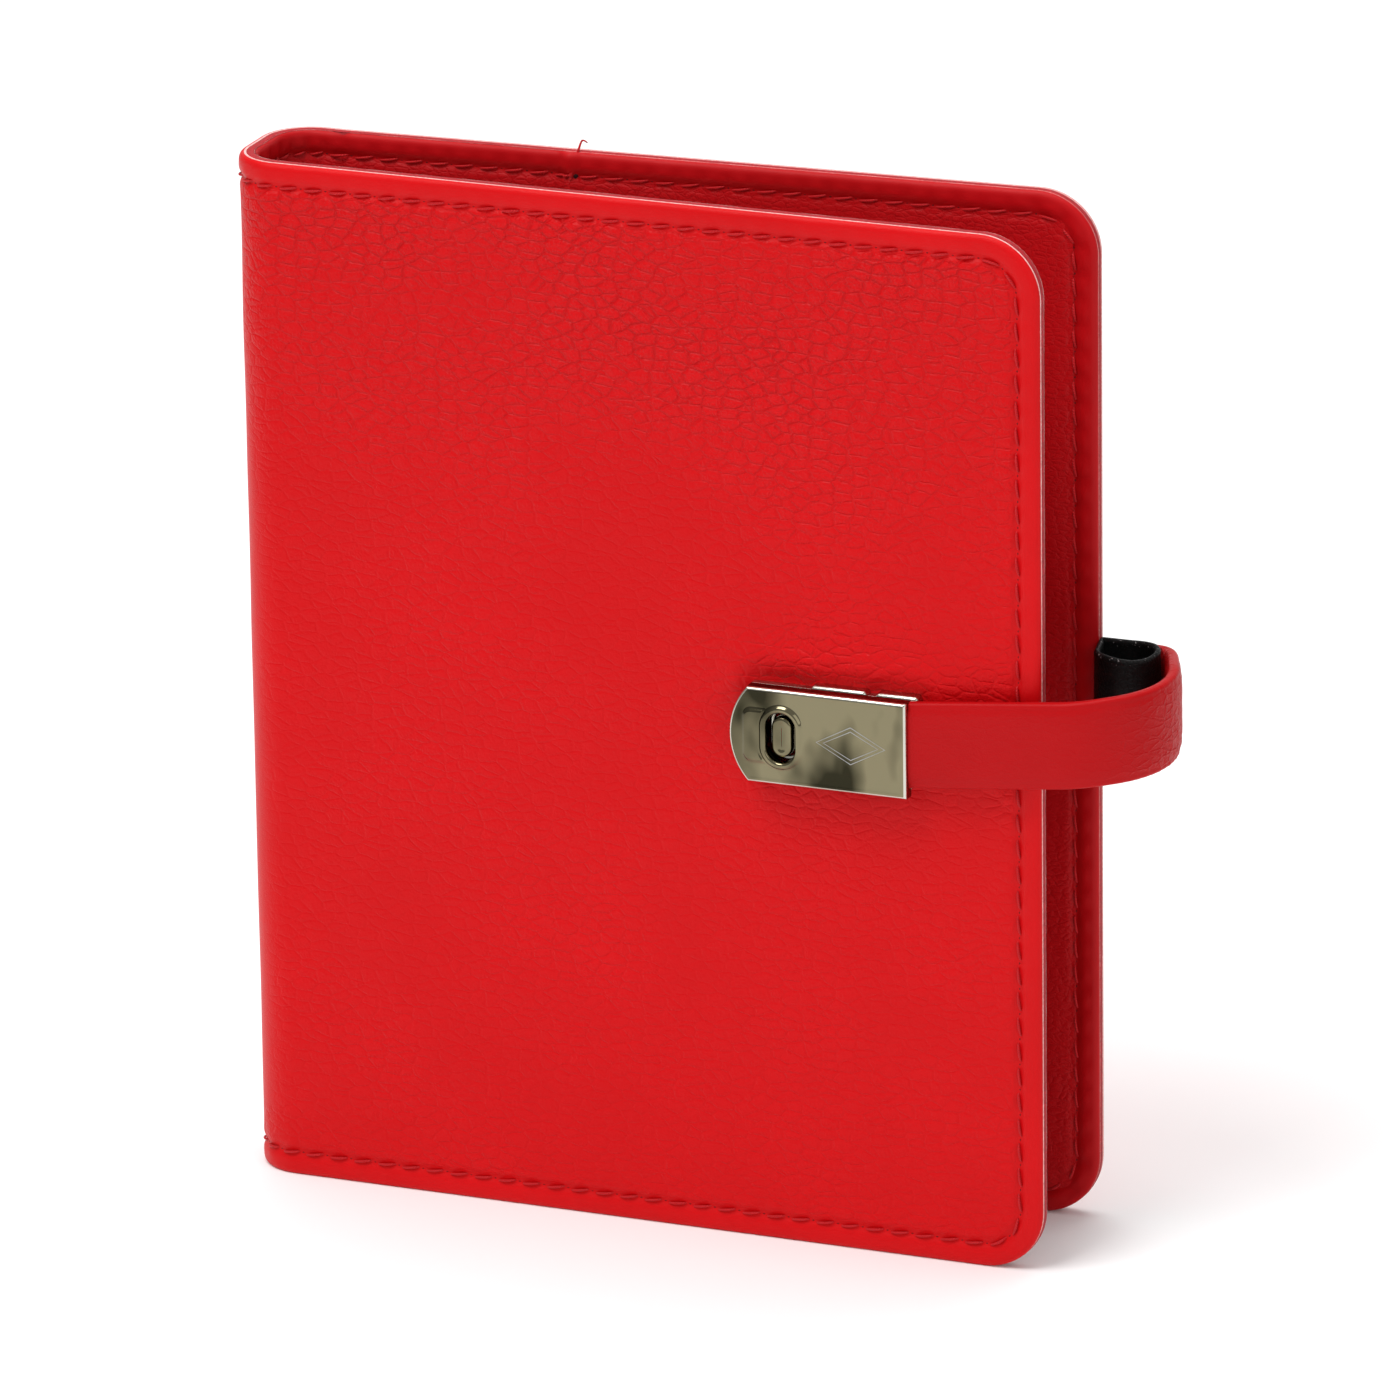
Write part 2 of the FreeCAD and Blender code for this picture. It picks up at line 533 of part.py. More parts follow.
def root_piece(t_in, t_out):
    """Straight part, sewn flat on the back cover."""
    start = root_end - root_dir * STRAP_ROOT
    edges = [start + root_out * t_in, root_end + root_out * t_in,
             root_end + root_out * t_out, start + root_out * t_out]
    face = outline_face(edges)
    face.translate(V(0, 0, STRAP_ROOT_Z - STRAP_WIDTH / 2))
    return face.extrude(V(0, 0, STRAP_WIDTH))


def shoulder_piece(t_in, t_out):
    """Free part, curving from the back cover into the bend."""
    turn = math.radians(SPLIT_HIGH)
    back = V(-math.sin(turn), math.cos(turn), 0)

    def sweep(t):
        p = root_end + root_out * t
        q = polar(STRAP_BEND_RADIUS - STRAP + t, SPLIT_HIGH)
        curve = Part.BezierCurve()
        curve.setPoles([p, p + root_dir * SHOULDER_PULL, q + back * SHOULDER_TURN, q])
        return curve.toShape(), p, q
    inner, p_in, q_in = sweep(t_in)
    outer, p_out, q_out = sweep(t_out)
    edges = [inner, Part.makeLine(q_in, q_out), outer, Part.makeLine(p_out, p_in)]
    return strap_run(edges, strap_middle["bend"], strap_middle["shoulder"])


r_mid = STRAP_BEND_RADIUS - STRAP_LEATHER
r_in = STRAP_BEND_RADIUS - STRAP
nodes["strap_root_leather"] = root_piece(STRAP_LINING, STRAP)
nodes["strap_root_lining"] = root_piece(0, STRAP_LINING)
nodes["strap_shoulder_leather"] = shoulder_piece(STRAP_LINING, STRAP)
nodes["strap_shoulder_lining"] = shoulder_piece(0, STRAP_LINING)
nodes["strap_bend_leather"] = arc_strip(r_mid, STRAP_BEND_RADIUS, SPLIT_LOW, SPLIT_HIGH)
nodes["strap_bend_lining"] = arc_strip(r_in, r_mid, SPLIT_LOW, SPLIT_HIGH)

tuck_x = plate_x1 - STRAP_TUCK


def front_piece(t_front, t_back):
    """Front run of the strap between two depths behind its front face, ending at the lock plate."""
    y0 = -STRAP_FRONT + t_front
    y1 = -STRAP_FRONT + t_back
    r_out = STRAP_BEND_RADIUS - t_front
    r_inner = STRAP_BEND_RADIUS - t_back
    a0, am = -90.0, (SPLIT_LOW - 90.0) / 2
    edges = [Part.makeLine(V(plate_x1, y0, 0), polar(r_out, a0)),
             Part.Arc(polar(r_out, a0), polar(r_out, am), polar(r_out, SPLIT_LOW)).toShape(),
             Part.makeLine(polar(r_out, SPLIT_LOW), polar(r_inner, SPLIT_LOW)),
             Part.Arc(polar(r_inner, SPLIT_LOW), polar(r_inner, am), polar(r_inner, a0)).toShape(),
             Part.makeLine(polar(r_inner, a0), V(plate_x1, y1, 0)),
             Part.makeLine(V(plate_x1, y1, 0), V(plate_x1, y0, 0))]
    return front_outline(edges)


strap_tab = box(tuck_x, plate_x1, -STRAP_FRONT, -STRAP_FRONT + STRAP_SKIVED,
                PLATE_CENTRE_Z - PLATE_HEIGHT / 2 + PLATE_RIM + 0.6,
                PLATE_CENTRE_Z + PLATE_HEIGHT / 2 - PLATE_RIM - 0.1)
lock_rivet_x = (plate_x1 - 2.6, plate_x1 - 8.6)
lock_rivets = []
for x in lock_rivet_x:
    shank = rod(LOCK_RIVET_SHANK, V(x, -STRAP_FRONT, PLATE_CENTRE_Z), AWAY, STRAP_SKIVED + CLAMP_SHEET)
    lock_rivets.append(shank)
nodes["strap_front_leather"] = front_piece(0, STRAP_LEATHER).fuse(strap_tab).removeSplitter().cut(lock_rivets)
nodes["strap_front_lining"] = front_piece(STRAP_LEATHER, STRAP)

# ---------------------------------------------------------------- lock plate
plate_z0 = PLATE_CENTRE_Z - PLATE_HEIGHT / 2
plate_z1 = PLATE_CENTRE_Z + PLATE_HEIGHT / 2


def plate_outline(inset, y0, y1):
    x0 = plate_x0 + PLATE_BULGE
    left = Part.Arc(V(x0, y0, plate_z1 - inset), V(plate_x0 + inset, y0, PLATE_CENTRE_Z),
                    V(x0, y0, plate_z0 + inset)).toShape()
    pts = [V(x0, y0, plate_z0 + inset), V(plate_x1, y0, plate_z0 + inset),
           V(plate_x1, y0, plate_z1 - inset), V(x0, y0, plate_z1 - inset)]
    edges = [left] + [Part.makeLine(pts[i], pts[i + 1]) for i in range(3)]
    face = Part.Face(Part.Wire(Part.__sortEdges__(edges)))
    return face.extrude(V(0, y1 - y0, 0))


tray = plate_outline(0, -PLATE_FACE, -PLATE_BACK)
front_edges = [e for e in tray.Edges
               if all(abs(v.Y + PLATE_FACE) < 1e-6 for v in e.Vertexes)
               and not all(abs(v.X - plate_x1) < 1e-6 for v in e.Vertexes)]
tray = tray.makeChamfer(0.45, front_edges)
tray = tray.cut(plate_outline(PLATE_RIM, -PLATE_FACE + PLATE_SHEET, -PLATE_BACK + 1))
hole_outer = HOLE_WIDTH + 2 * COLLAR_WALL
collar = stadium(BUTTON_X, PLATE_CENTRE_Z, hole_outer, HOLE_LENGTH + 2 * COLLAR_WALL,
                 -PLATE_FACE - COLLAR_HEIGHT, -PLATE_BACK)
hole = stadium(BUTTON_X, PLATE_CENTRE_Z, HOLE_WIDTH, HOLE_LENGTH, -PLATE_FACE - 2, 0)
stop_wall = box(tuck_x - 0.8, tuck_x, -PLATE_FACE + PLATE_SHEET, -PLATE_BACK,
                plate_z0 + PLATE_RIM, plate_z1 - PLATE_RIM)
lock_plate = tray.fuse([collar, stop_wall]).removeSplitter().cut(hole)
nodes["lock_plate"] = lock_plate
clamp = box(tuck_x + 0.1, plate_x1 - 0.2, -STRAP_FRONT + STRAP_SKIVED,
            -STRAP_FRONT + STRAP_SKIVED + CLAMP_SHEET,
            plate_z0 + PLATE_RIM + 0.1, plate_z1 - PLATE_RIM - 0.1)
nodes["lock_clamp"] = clamp.cut(lock_rivets)
nodes["lock_rivets"] = Part.makeCompound(lock_rivets)

# ---------------------------------------------------------------- button and spring
body_y1 = -BASE_HOUSING + HOUSING_ROOF
button = stadium(BUTTON_X, PLATE_CENTRE_Z, BUTTON_WIDTH, BUTTON_LENGTH, -BUTTON_TOP, body_y1)
dome_edges = [e for e in button.Edges if all(abs(v.Y + BUTTON_TOP) < 1e-6 for v in e.Vertexes)]
button = button.makeChamfer(BUTTON_DOME, dome_edges)
button_foot = stadium(BUTTON_X, PLATE_CENTRE_Z, BUTTON_WIDTH + 2 * BUTTON_FLANGE,
                      BUTTON_LENGTH + 2 * BUTTON_FLANGE, body_y1, body_y1 + BUTTON_FLANGE)
nodes["lock_button"] = button.fuse(button_foot).removeSplitter()

spring_top = body_y1 + BUTTON_FLANGE
spring_half = SPRING_SPAN / 2
bows = [Part.Arc(V(0, backing_y0, -half), V(0, top, 0), V(0, backing_y0, half)).toShape()
        for half, top in ((spring_half, spring_top), (spring_half - SPRING_SHEET, spring_top + SPRING_SHEET))]
feet = [Part.makeLine(V(0, backing_y0, side * spring_half), V(0, backing_y0, side * (spring_half - SPRING_SHEET)))
        for side in (-1, 1)]
leaf = Part.Face(Part.Wire(Part.__sortEdges__(bows + feet))).extrude(V(SPRING_WIDTH, 0, 0))
leaf.translate(V(BUTTON_X - SPRING_WIDTH / 2, 0, PLATE_CENTRE_Z))
nodes["button_spring"] = leaf

# ---------------------------------------------------------------- write the files
# The origin is centred under the case: half its length and half its depth, at the foot of the covers.
back_most = max(shape.BoundBox.YMax for shape in nodes.values())
front_most = min(shape.BoundBox.YMin for shape in nodes.values())
right_most = max(shape.BoundBox.XMax for shape in nodes.values())
left_most = min(shape.BoundBox.XMin for shape in nodes.values())
shift = V(-(left_most + right_most) / 2, -(front_most + back_most) / 2, 0)
for name, shape in sorted(nodes.items()):
    shape = shape.copy()
    shape.translate(shift)
    solids = shape.Solids
    if not shape.isValid() or not solids:
        raise RuntimeError("bad shape in " + name)
    if len(solids) == 1:
        shape = solids[0]
    shape.exportStep("parts/" + name + ".step")
    print(name, len(solids), round(shape.Volume, 2))
points = {"front crease": FRONT_CREASE, "back crease": BACK_CREASE,
          "ring centre": V(RING_CENTRE_X, MID_Y, MID_Z),
          "front carrier": V(CARRIER_X + carrier_round, MID_Y - carrier_hinge, MID_Z),
          "back carrier": V(CARRIER_X + carrier_round, MID_Y + carrier_hinge, MID_Z),
          "top lever": V(lever_pin_x, MID_Y, rail_z1 - 2.2),
          "bottom lever": V(lever_pin_x, MID_Y, rail_z0 + 2.2),
          "strap shoulder": strap_middle["shoulder"],
          "strap bend": strap_middle["bend"],
          "strap front": strap_middle["front"],
          "button": V(BUTTON_X, -BUTTON_TOP, PLATE_CENTRE_Z),
          "spring foot": V(BUTTON_X, backing_y0, PLATE_CENTRE_Z)}
for name, point in points.items():
    p = point + shift
    print("pivot", name, round(p.x, 4), round(p.y, 4), round(p.z, 4))
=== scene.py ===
import json
import math

import bpy
import numpy as np
from mathutils import Matrix, Vector


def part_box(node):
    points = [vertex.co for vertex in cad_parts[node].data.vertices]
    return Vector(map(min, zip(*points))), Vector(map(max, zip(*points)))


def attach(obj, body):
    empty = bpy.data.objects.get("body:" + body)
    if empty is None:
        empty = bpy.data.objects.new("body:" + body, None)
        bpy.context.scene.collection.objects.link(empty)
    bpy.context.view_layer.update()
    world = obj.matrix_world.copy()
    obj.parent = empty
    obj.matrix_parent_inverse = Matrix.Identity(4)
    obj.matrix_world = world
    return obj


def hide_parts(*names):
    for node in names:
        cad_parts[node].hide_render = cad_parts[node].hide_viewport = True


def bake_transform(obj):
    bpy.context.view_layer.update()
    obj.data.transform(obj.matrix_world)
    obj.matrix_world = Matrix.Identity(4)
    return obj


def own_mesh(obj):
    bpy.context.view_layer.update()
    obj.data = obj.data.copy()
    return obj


bl_info = {
    "name": "Ring Notebook",
    "version": (1, 0, 0),
    "blender": (4, 5, 0),
    "location": "View3D > Sidebar > Notebook",
    "description": "Leather, stitching, lock and pages of a pocket ring notebook",
    "category": "Object",
}

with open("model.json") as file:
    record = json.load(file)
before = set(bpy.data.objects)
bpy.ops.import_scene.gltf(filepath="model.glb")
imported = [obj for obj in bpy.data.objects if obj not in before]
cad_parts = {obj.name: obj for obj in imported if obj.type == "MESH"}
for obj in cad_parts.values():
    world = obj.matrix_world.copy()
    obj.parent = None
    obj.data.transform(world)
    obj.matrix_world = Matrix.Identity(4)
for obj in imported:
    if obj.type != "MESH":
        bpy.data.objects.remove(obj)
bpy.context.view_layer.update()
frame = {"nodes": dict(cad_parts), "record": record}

MM = 0.001
HEIGHT = 145.0
WIDTH = 117.0
DEPTH = 19.6
LEAN = math.radians(3.0)
CREASE = 9.8
CREASE_MID = 1.3
SPINE_ROUND = 7.0
CORNER = 8.5
COVER = 2.6
FLAT_SPINE = DEPTH / 2 - SPINE_ROUND
ARC_SPINE = SPINE_ROUND * math.pi / 2
SHEET = FLAT_SPINE + ARC_SPINE + WIDTH - SPINE_ROUND

low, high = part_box("front_cover_skin")
ORIGIN = np.array([high[0] / MM - WIDTH, low[1] / MM, 0.0])


# ------------------------------------------------------------------ sizes
class NotebookLeather(bpy.types.PropertyGroup):
    """Sizes of the leather's hem, stitching and grain"""

    margin: bpy.props.FloatProperty(
        name="Stitch margin", description="Edge of the cover to the stitch line",
        default=0.0032, unit="LENGTH")
    pitch: bpy.props.FloatProperty(
        name="Stitch pitch", description="Length of one stitch", default=0.0036, unit="LENGTH")
    thread: bpy.props.FloatProperty(
        name="Thread", description="Diameter of the thread", default=0.00036, unit="LENGTH")
    groove: bpy.props.FloatProperty(
        name="Groove", description="How deep the stitches pull the leather in",
        default=0.0003, unit="LENGTH")
    hem: bpy.props.FloatProperty(
        name="Hem roll", description="Height of the hem's crown",
        default=0.0001, unit="LENGTH")
    step: bpy.props.FloatProperty(
        name="Mesh step", description="Spacing of the surface points", default=0.0006, unit="LENGTH")
    grain: bpy.props.FloatProperty(
        name="Grain size", description="Width of one pebble of the grain",
        default=0.0017, unit="LENGTH")


class NotebookStage(bpy.types.PropertyGroup):
    """Camera and light of the picture"""

    distance: bpy.props.FloatProperty(
        name="Camera distance", description="Camera to the point it looks at",
        default=1.611, unit="LENGTH")
    azimuth: bpy.props.FloatProperty(
        name="Azimuth", description="Camera's turn round the object",
        default=math.radians(22.2), subtype="ANGLE")
    elevation: bpy.props.FloatProperty(
        name="Elevation", description="Camera's height angle",
        default=math.radians(18.6), subtype="ANGLE")
    roll: bpy.props.FloatProperty(
        name="Roll", description="Camera's tilt about its own axis",
        default=math.radians(-0.75), subtype="ANGLE")
    lens: bpy.props.FloatProperty(
        name="Lens", description="Focal length in millimetres", default=308.6)


# ------------------------------------------------------------------ materials
def colour(text):
    """Linear RGBA of an sRGB hex colour."""
    parts = np.array([int(text[i:i + 2], 16) for i in (1, 3, 5)]) / 255.0
    linear = np.where(parts <= 0.04045, parts / 12.92, ((parts + 0.055) / 1.055) ** 2.4)
    return (*linear.tolist(), 1.0)


def add(tree, kind, settings=None, **inputs):
    """Add a node; each input is a value or a socket to link. Names use _ for spaces."""
    node = tree.nodes.new(kind)
    for key, value in (settings or {}).items():
        setattr(node, key, value)
    for key, value in inputs.items():
        socket = node.inputs[int(key[1:]) if key[0] == "i" and key[1:].isdigit() else key.replace("_", " ")]
        if isinstance(value, bpy.types.NodeSocket):
            tree.links.new(value, socket)
        else:
            socket.default_value = value
    return node


def new_material(name):
    """Empty node material and its tree."""
    material = bpy.data.materials.new(name)
    material.use_nodes = True
    material.node_tree.nodes.clear()
    return material, material.node_tree


def solid_material(name):
    """Empty material, its tree and the object's own coordinates."""
    material, tree = new_material(name)
    return material, tree, add(tree, "ShaderNodeTexCoord").outputs["Object"]


def finish(tree, **inputs):
    """Principled shader with these inputs, joined to the output."""
    shader = add(tree, "ShaderNodeBsdfPrincipled", **inputs)
    out = add(tree, "ShaderNodeOutputMaterial")
    tree.links.new(shader.outputs[0], out.inputs["Surface"])
    return shader


def maths(tree, operation, a, b=0.0, clamp=False):
    """Result socket of one scalar operation."""
    return add(tree, "ShaderNodeMath", {"operation": operation, "use_clamp": clamp}, i0=a, i1=b).outputs[0]


def remap(tree, value, low_in, high_in, low_out=0.0, high_out=1.0):
    """Clamped linear remap of a scalar."""
    node = add(tree, "ShaderNodeMapRange", Value=value, From_Min=low_in, From_Max=high_in,
               To_Min=low_out, To_Max=high_out)
    return node.outputs[0]


def noise(tree, vector, scale, detail=2.0):
    """Noise texture node."""
    return add(tree, "ShaderNodeTexNoise", Vector=vector, Scale=scale, Detail=detail)


def bumped(tree, strength, distance, height):
    """Bump node."""
    return add(tree, "ShaderNodeBump", Strength=strength, Distance=distance, Height=height)


def mix(tree, factor, a, b):
    """Colour mix; a and b are colours or sockets."""
    node = add(tree, "ShaderNodeMix", {"data_type": "RGBA"})
    for socket, value in ((node.inputs[0], factor), (node.inputs[6], a), (node.inputs[7], b)):
        if isinstance(value, bpy.types.NodeSocket):
            tree.links.new(value, socket)
        else:
            socket.default_value = value
    return node.outputs[2]


def attribute(tree, name):
    return add(tree, "ShaderNodeAttribute", {"attribute_name": name})


def pu_leather(name, base, deep, light, grain, strength, roughness):
    """Polyurethane-coated leather, embossed with a pebble grain.

    Coordinates are the sheet's own, unrolled in metres, so the grain wraps round the spine.
    The emboss is a cell pattern, stretched 1.5 times along the sheet, over a finer one; it fades
    out by the attribute "plain", which is 1 on the hems and where the leather is stretched.
    """
    material, tree = new_material(name)
    flat = attribute(tree, "flat").outputs["Vector"]
    plain = attribute(tree, "plain").outputs["Fac"]
    warp = noise(tree, flat, 220.0)
    shift = add(tree, "ShaderNodeVectorMath", {"operation": "SCALE"}, i0=warp.outputs["Color"], Scale=0.0014)
    moved = add(tree, "ShaderNodeVectorMath", {"operation": "ADD"}, i0=flat, i1=shift.outputs[0])
    stretch = add(tree, "ShaderNodeMapping", Vector=moved.outputs[0], Scale=(0.66, 1.15, 1.0))
    cells = add(tree, "ShaderNodeTexVoronoi", {"feature": "DISTANCE_TO_EDGE"},
                Vector=stretch.outputs[0], Scale=1.0 / grain, Randomness=0.9)
    fine = add(tree, "ShaderNodeTexVoronoi", {"feature": "DISTANCE_TO_EDGE"},
               Vector=moved.outputs[0], Scale=2.6 / grain, Randomness=1.0)
    pores = noise(tree, flat, 5200.0)
    patches = noise(tree, flat, 38.0, 3.0)
    dome = add(tree, "ShaderNodeMapRange", {"interpolation_type": "SMOOTHSTEP"},
               Value=cells.outputs["Distance"], From_Min=0.0, From_Max=0.42).outputs[0]
    valley = add(tree, "ShaderNodeMapRange", {"interpolation_type": "SMOOTHSTEP"},
                 Value=cells.outputs["Distance"], From_Min=0.0, From_Max=0.13).outputs[0]
    pebble = maths(tree, "ADD", maths(tree, "MULTIPLY", dome, 0.45), maths(tree, "MULTIPLY", valley, 0.55))
    small = add(tree, "ShaderNodeMapRange", {"interpolation_type": "SMOOTHSTEP"},
                Value=fine.outputs["Distance"], From_Min=0.0, From_Max=0.40).outputs[0]
    depth = maths(tree, "MULTIPLY", remap(tree, patches.outputs["Fac"], 0.34, 0.66, 0.35, 1.0),
                  maths(tree, "SUBTRACT", 1.0, plain), True)
    relief = maths(tree, "MULTIPLY", maths(tree, "ADD", maths(tree, "MULTIPLY", pebble, 0.75),
                                           maths(tree, "MULTIPLY", small, 0.25)), depth)
    relief = maths(tree, "ADD", relief, maths(tree, "MULTIPLY", pores.outputs["Fac"], 0.10))
    bump = bumped(tree, strength, 0.0007, relief)
    # Painted shade: the grain's creases are darkened towards the deep colour, up to 30 percent, as shadow
    # would fall in them.
    crease = maths(tree, "MULTIPLY", maths(tree, "SUBTRACT", 1.0, pebble), depth, True)
    tone = mix(tree, remap(tree, patches.outputs["Fac"], 0.35, 0.7), base, light)
    tone = mix(tree, maths(tree, "MULTIPLY", maths(tree, "POWER", crease, 3.0), 0.30), tone, deep)
    rough = remap(tree, pores.outputs["Fac"], 0.3, 0.7, roughness - 0.05, roughness + 0.07)
    finish(tree, Base_Color=tone, Roughness=rough, IOR=1.5, Specular_IOR_Level=0.13, Normal=bump.outputs[0])
    return material


def cut_edge(name, base, dark):
    """Cut and burnished edge of coated leather: short fibres, matt."""
    material, tree, coords = solid_material(name)
    fibres = noise(tree, coords, 2600.0, 4.0)
    blotch = noise(tree, coords, 160.0)
    tone = mix(tree, remap(tree, fibres.outputs["Fac"], 0.35, 0.65), dark, base)
    tone = mix(tree, remap(tree, blotch.outputs["Fac"], 0.45, 0.75, 0.0, 0.35), tone, dark)
    bump = bumped(tree, 0.5, 0.0001, fibres.outputs["Fac"])
    finish(tree, Base_Color=tone, Roughness=0.72, IOR=1.45, Normal=bump.outputs[0])
    return material


def thread_material(name, base, dark):
    """Twisted polyester thread: slanting plies along the stitch, painted shade between the plies, slight
    sheen.
    """
    material, tree = new_material(name)
    along = attribute(tree, "flat").outputs["Vector"]
    split = add(tree, "ShaderNodeSeparateXYZ", Vector=along)
    turn = maths(tree, "ADD", maths(tree, "MULTIPLY", split.outputs["X"], 9000.0), split.outputs["Y"])
    ply = maths(tree, "ABSOLUTE", maths(tree, "SINE", turn))
    bump = bumped(tree, 0.8, 0.00008, ply)
    # Painted shade: the grooves between the plies are darker, towards the dark colour.
    tone = mix(tree, ply, dark, base)
    finish(tree, Base_Color=tone, Roughness=0.55, IOR=1.5, Specular_IOR_Level=0.3, Normal=bump.outputs[0],
           Sheen_Weight=0.05, Sheen_Roughness=0.4)
    return material


def hole_shade_material():
    """Needle hole as a dark disc of painted shade, mottled, no gloss."""
    material, tree, coords = solid_material("needle_hole_shade")
    mottle = noise(tree, coords, 3000.0)
    tone = mix(tree, mottle.outputs["Fac"], colour("#1E0305"), colour("#3A0609"))
    finish(tree, Base_Color=tone, Roughness=0.9, IOR=1.4)
    return material


def plated(name, base, smear_and_reflection_tint, roughness, scratch=0.12):
    """Bright nickel plating on pressed steel: faint polishing lines, smears and a few pits. Noise mixes the
    base colour towards a second colour, which on the lock plate paints olive-grey and dark reflections onto
    the metal.
    """
    material, tree, coords = solid_material(name)
    lines = add(tree, "ShaderNodeMapping", Vector=coords, Scale=(60.0, 60.0, 5200.0))
    polish = noise(tree, lines.outputs[0], 1.0, 3.0)
    tall = add(tree, "ShaderNodeMapping", Vector=coords, Scale=(1.0, 1.0, 0.5))
    smears_and_painted_reflections = noise(tree, tall.outputs[0], 170.0)
    pits = add(tree, "ShaderNodeTexVoronoi", Vector=coords, Scale=900.0)
    # Painted reflections: on the lock plate this mix lays dark patches over the metal; on bright nickel it
    # stays faint smears.
    tone = mix(tree, remap(tree, smears_and_painted_reflections.outputs["Fac"], 0.42, 0.68), base, smear_and_reflection_tint)
    rough = maths(tree, "ADD", remap(tree, smears_and_painted_reflections.outputs["Fac"], 0.35, 0.7, roughness, roughness + 0.10),
                  maths(tree, "MULTIPLY", polish.outputs["Fac"], scratch * 0.3))
    pit = remap(tree, pits.outputs["Distance"], 0.0, 0.10)
    height = maths(tree, "ADD", maths(tree, "MULTIPLY", polish.outputs["Fac"], scratch), pit)
    bump = bumped(tree, 0.12, 0.00003, height)
    finish(tree, Base_Color=tone, Metallic=1.0, Roughness=rough, IOR=2.5, Normal=bump.outputs[0])
    return material


def zinc(name):
    """Zinc-plated stamped steel: satin, with a drawn grain."""
    material, tree, coords = solid_material(name)
    lines = add(tree, "ShaderNodeMapping", Vector=coords, Scale=(900.0, 900.0, 60.0))
    drawn = noise(tree, lines.outputs[0], 1.0, 3.0)
    tone = mix(tree, drawn.outputs["Fac"], colour("#8E9092"), colour("#B4B5B4"))
    bump = bumped(tree, 0.2, 0.00004, drawn.outputs["Fac"])
    rough = remap(tree, drawn.outputs["Fac"], 0.3, 0.7, 0.28, 0.42)
    finish(tree, Base_Color=tone, Metallic=1.0, Roughness=rough, IOR=2.4, Normal=bump.outputs[0])
    return material


def black_leather(name):
    """Soft black coated leather, fine grain, darker in the grain's valleys by painted shade, with pale
    painted glints along the folded edge.
    """
    material, tree = new_material(name)
    flat = attribute(tree, "flat").outputs["Vector"]
    edge = attribute(tree, "plain").outputs["Fac"]
    cells = add(tree, "ShaderNodeTexVoronoi", {"feature": "DISTANCE_TO_EDGE"},
                Vector=flat, Scale=1700.0, Randomness=1.0)
    glint_noise = noise(tree, flat, 2600.0)
    relief = remap(tree, cells.outputs["Distance"], 0.0, 0.2)
    painted_glint = maths(tree, "MULTIPLY", remap(tree, glint_noise.outputs["Fac"], 0.66, 0.74), edge, True)
    # Painted shade: the grain's valleys are darker than the tops of its cells.
    tone = mix(tree, relief, colour("#020202"), colour("#0B0B0B"))
    # Painted glints: pale dots on the folded edge stand in for highlights.
    tone = mix(tree, maths(tree, "MULTIPLY", painted_glint, 0.7), tone, colour("#B9B4B4"))
    bump = bumped(tree, 0.45, 0.0001, relief)
    finish(tree, Base_Color=tone, Roughness=0.5, IOR=1.5, Specular_IOR_Level=0.18, Normal=bump.outputs[0])
    return material


def paper(name):
    """Uncoated writing paper: faint fibre mottle, printed rules 6 mm apart on each face."""
    material, tree, coords = solid_material(name)
    fibre = noise(tree, coords, 900.0, 5.0)
    flat = attribute(tree, "flat").outputs["Vector"]
    split = add(tree, "ShaderNodeSeparateXYZ", Vector=flat)
    row = maths(tree, "FRACT", maths(tree, "DIVIDE", split.outputs["Y"], 0.006))
    rule = maths(tree, "LESS_THAN", maths(tree, "ABSOLUTE", maths(tree, "SUBTRACT", row, 0.5)), 0.02)
    inside = maths(tree, "GREATER_THAN", split.outputs["X"], 0.012)
    face = attribute(tree, "plain").outputs["Fac"]
    tone = mix(tree, remap(tree, fibre.outputs["Fac"], 0.3, 0.7), colour("#EFECE2"), colour("#F7F5EE"))
    ink = maths(tree, "MULTIPLY", maths(tree, "MULTIPLY", rule, inside), face)
    tone = mix(tree, maths(tree, "MULTIPLY", ink, 0.55), tone, colour("#8FA3B8"))
    bump = bumped(tree, 0.15, 0.00005, fibre.outputs["Fac"])
    finish(tree, Base_Color=tone, Roughness=0.85, IOR=1.45, Normal=bump.outputs[0])
    return material


def greyboard(name):
    """Recycled greyboard: pressed flecks, matt."""
    material, tree, coords = solid_material(name)
    flecks = noise(tree, coords, 1500.0, 6.0)
    tone = mix(tree, remap(tree, flecks.outputs["Fac"], 0.3, 0.7), colour("#7B7265"), colour("#A79C8A"))
    bump = bumped(tree, 0.3, 0.0001, flecks.outputs["Fac"])
    finish(tree, Base_Color=tone, Roughness=0.9, IOR=1.45, Normal=bump.outputs[0])
    return material


def backdrop_material():
    """Seamless white card."""
    material, tree, coords = solid_material("white_card")
    mottle = noise(tree, coords, 3.0)
    tone = mix(tree, mottle.outputs["Fac"], colour("#FAFAFA"), colour("#FDFDFD"))
    finish(tree, Base_Color=tone, Roughness=0.9, IOR=1.4)
    return material


MATERIALS = {}


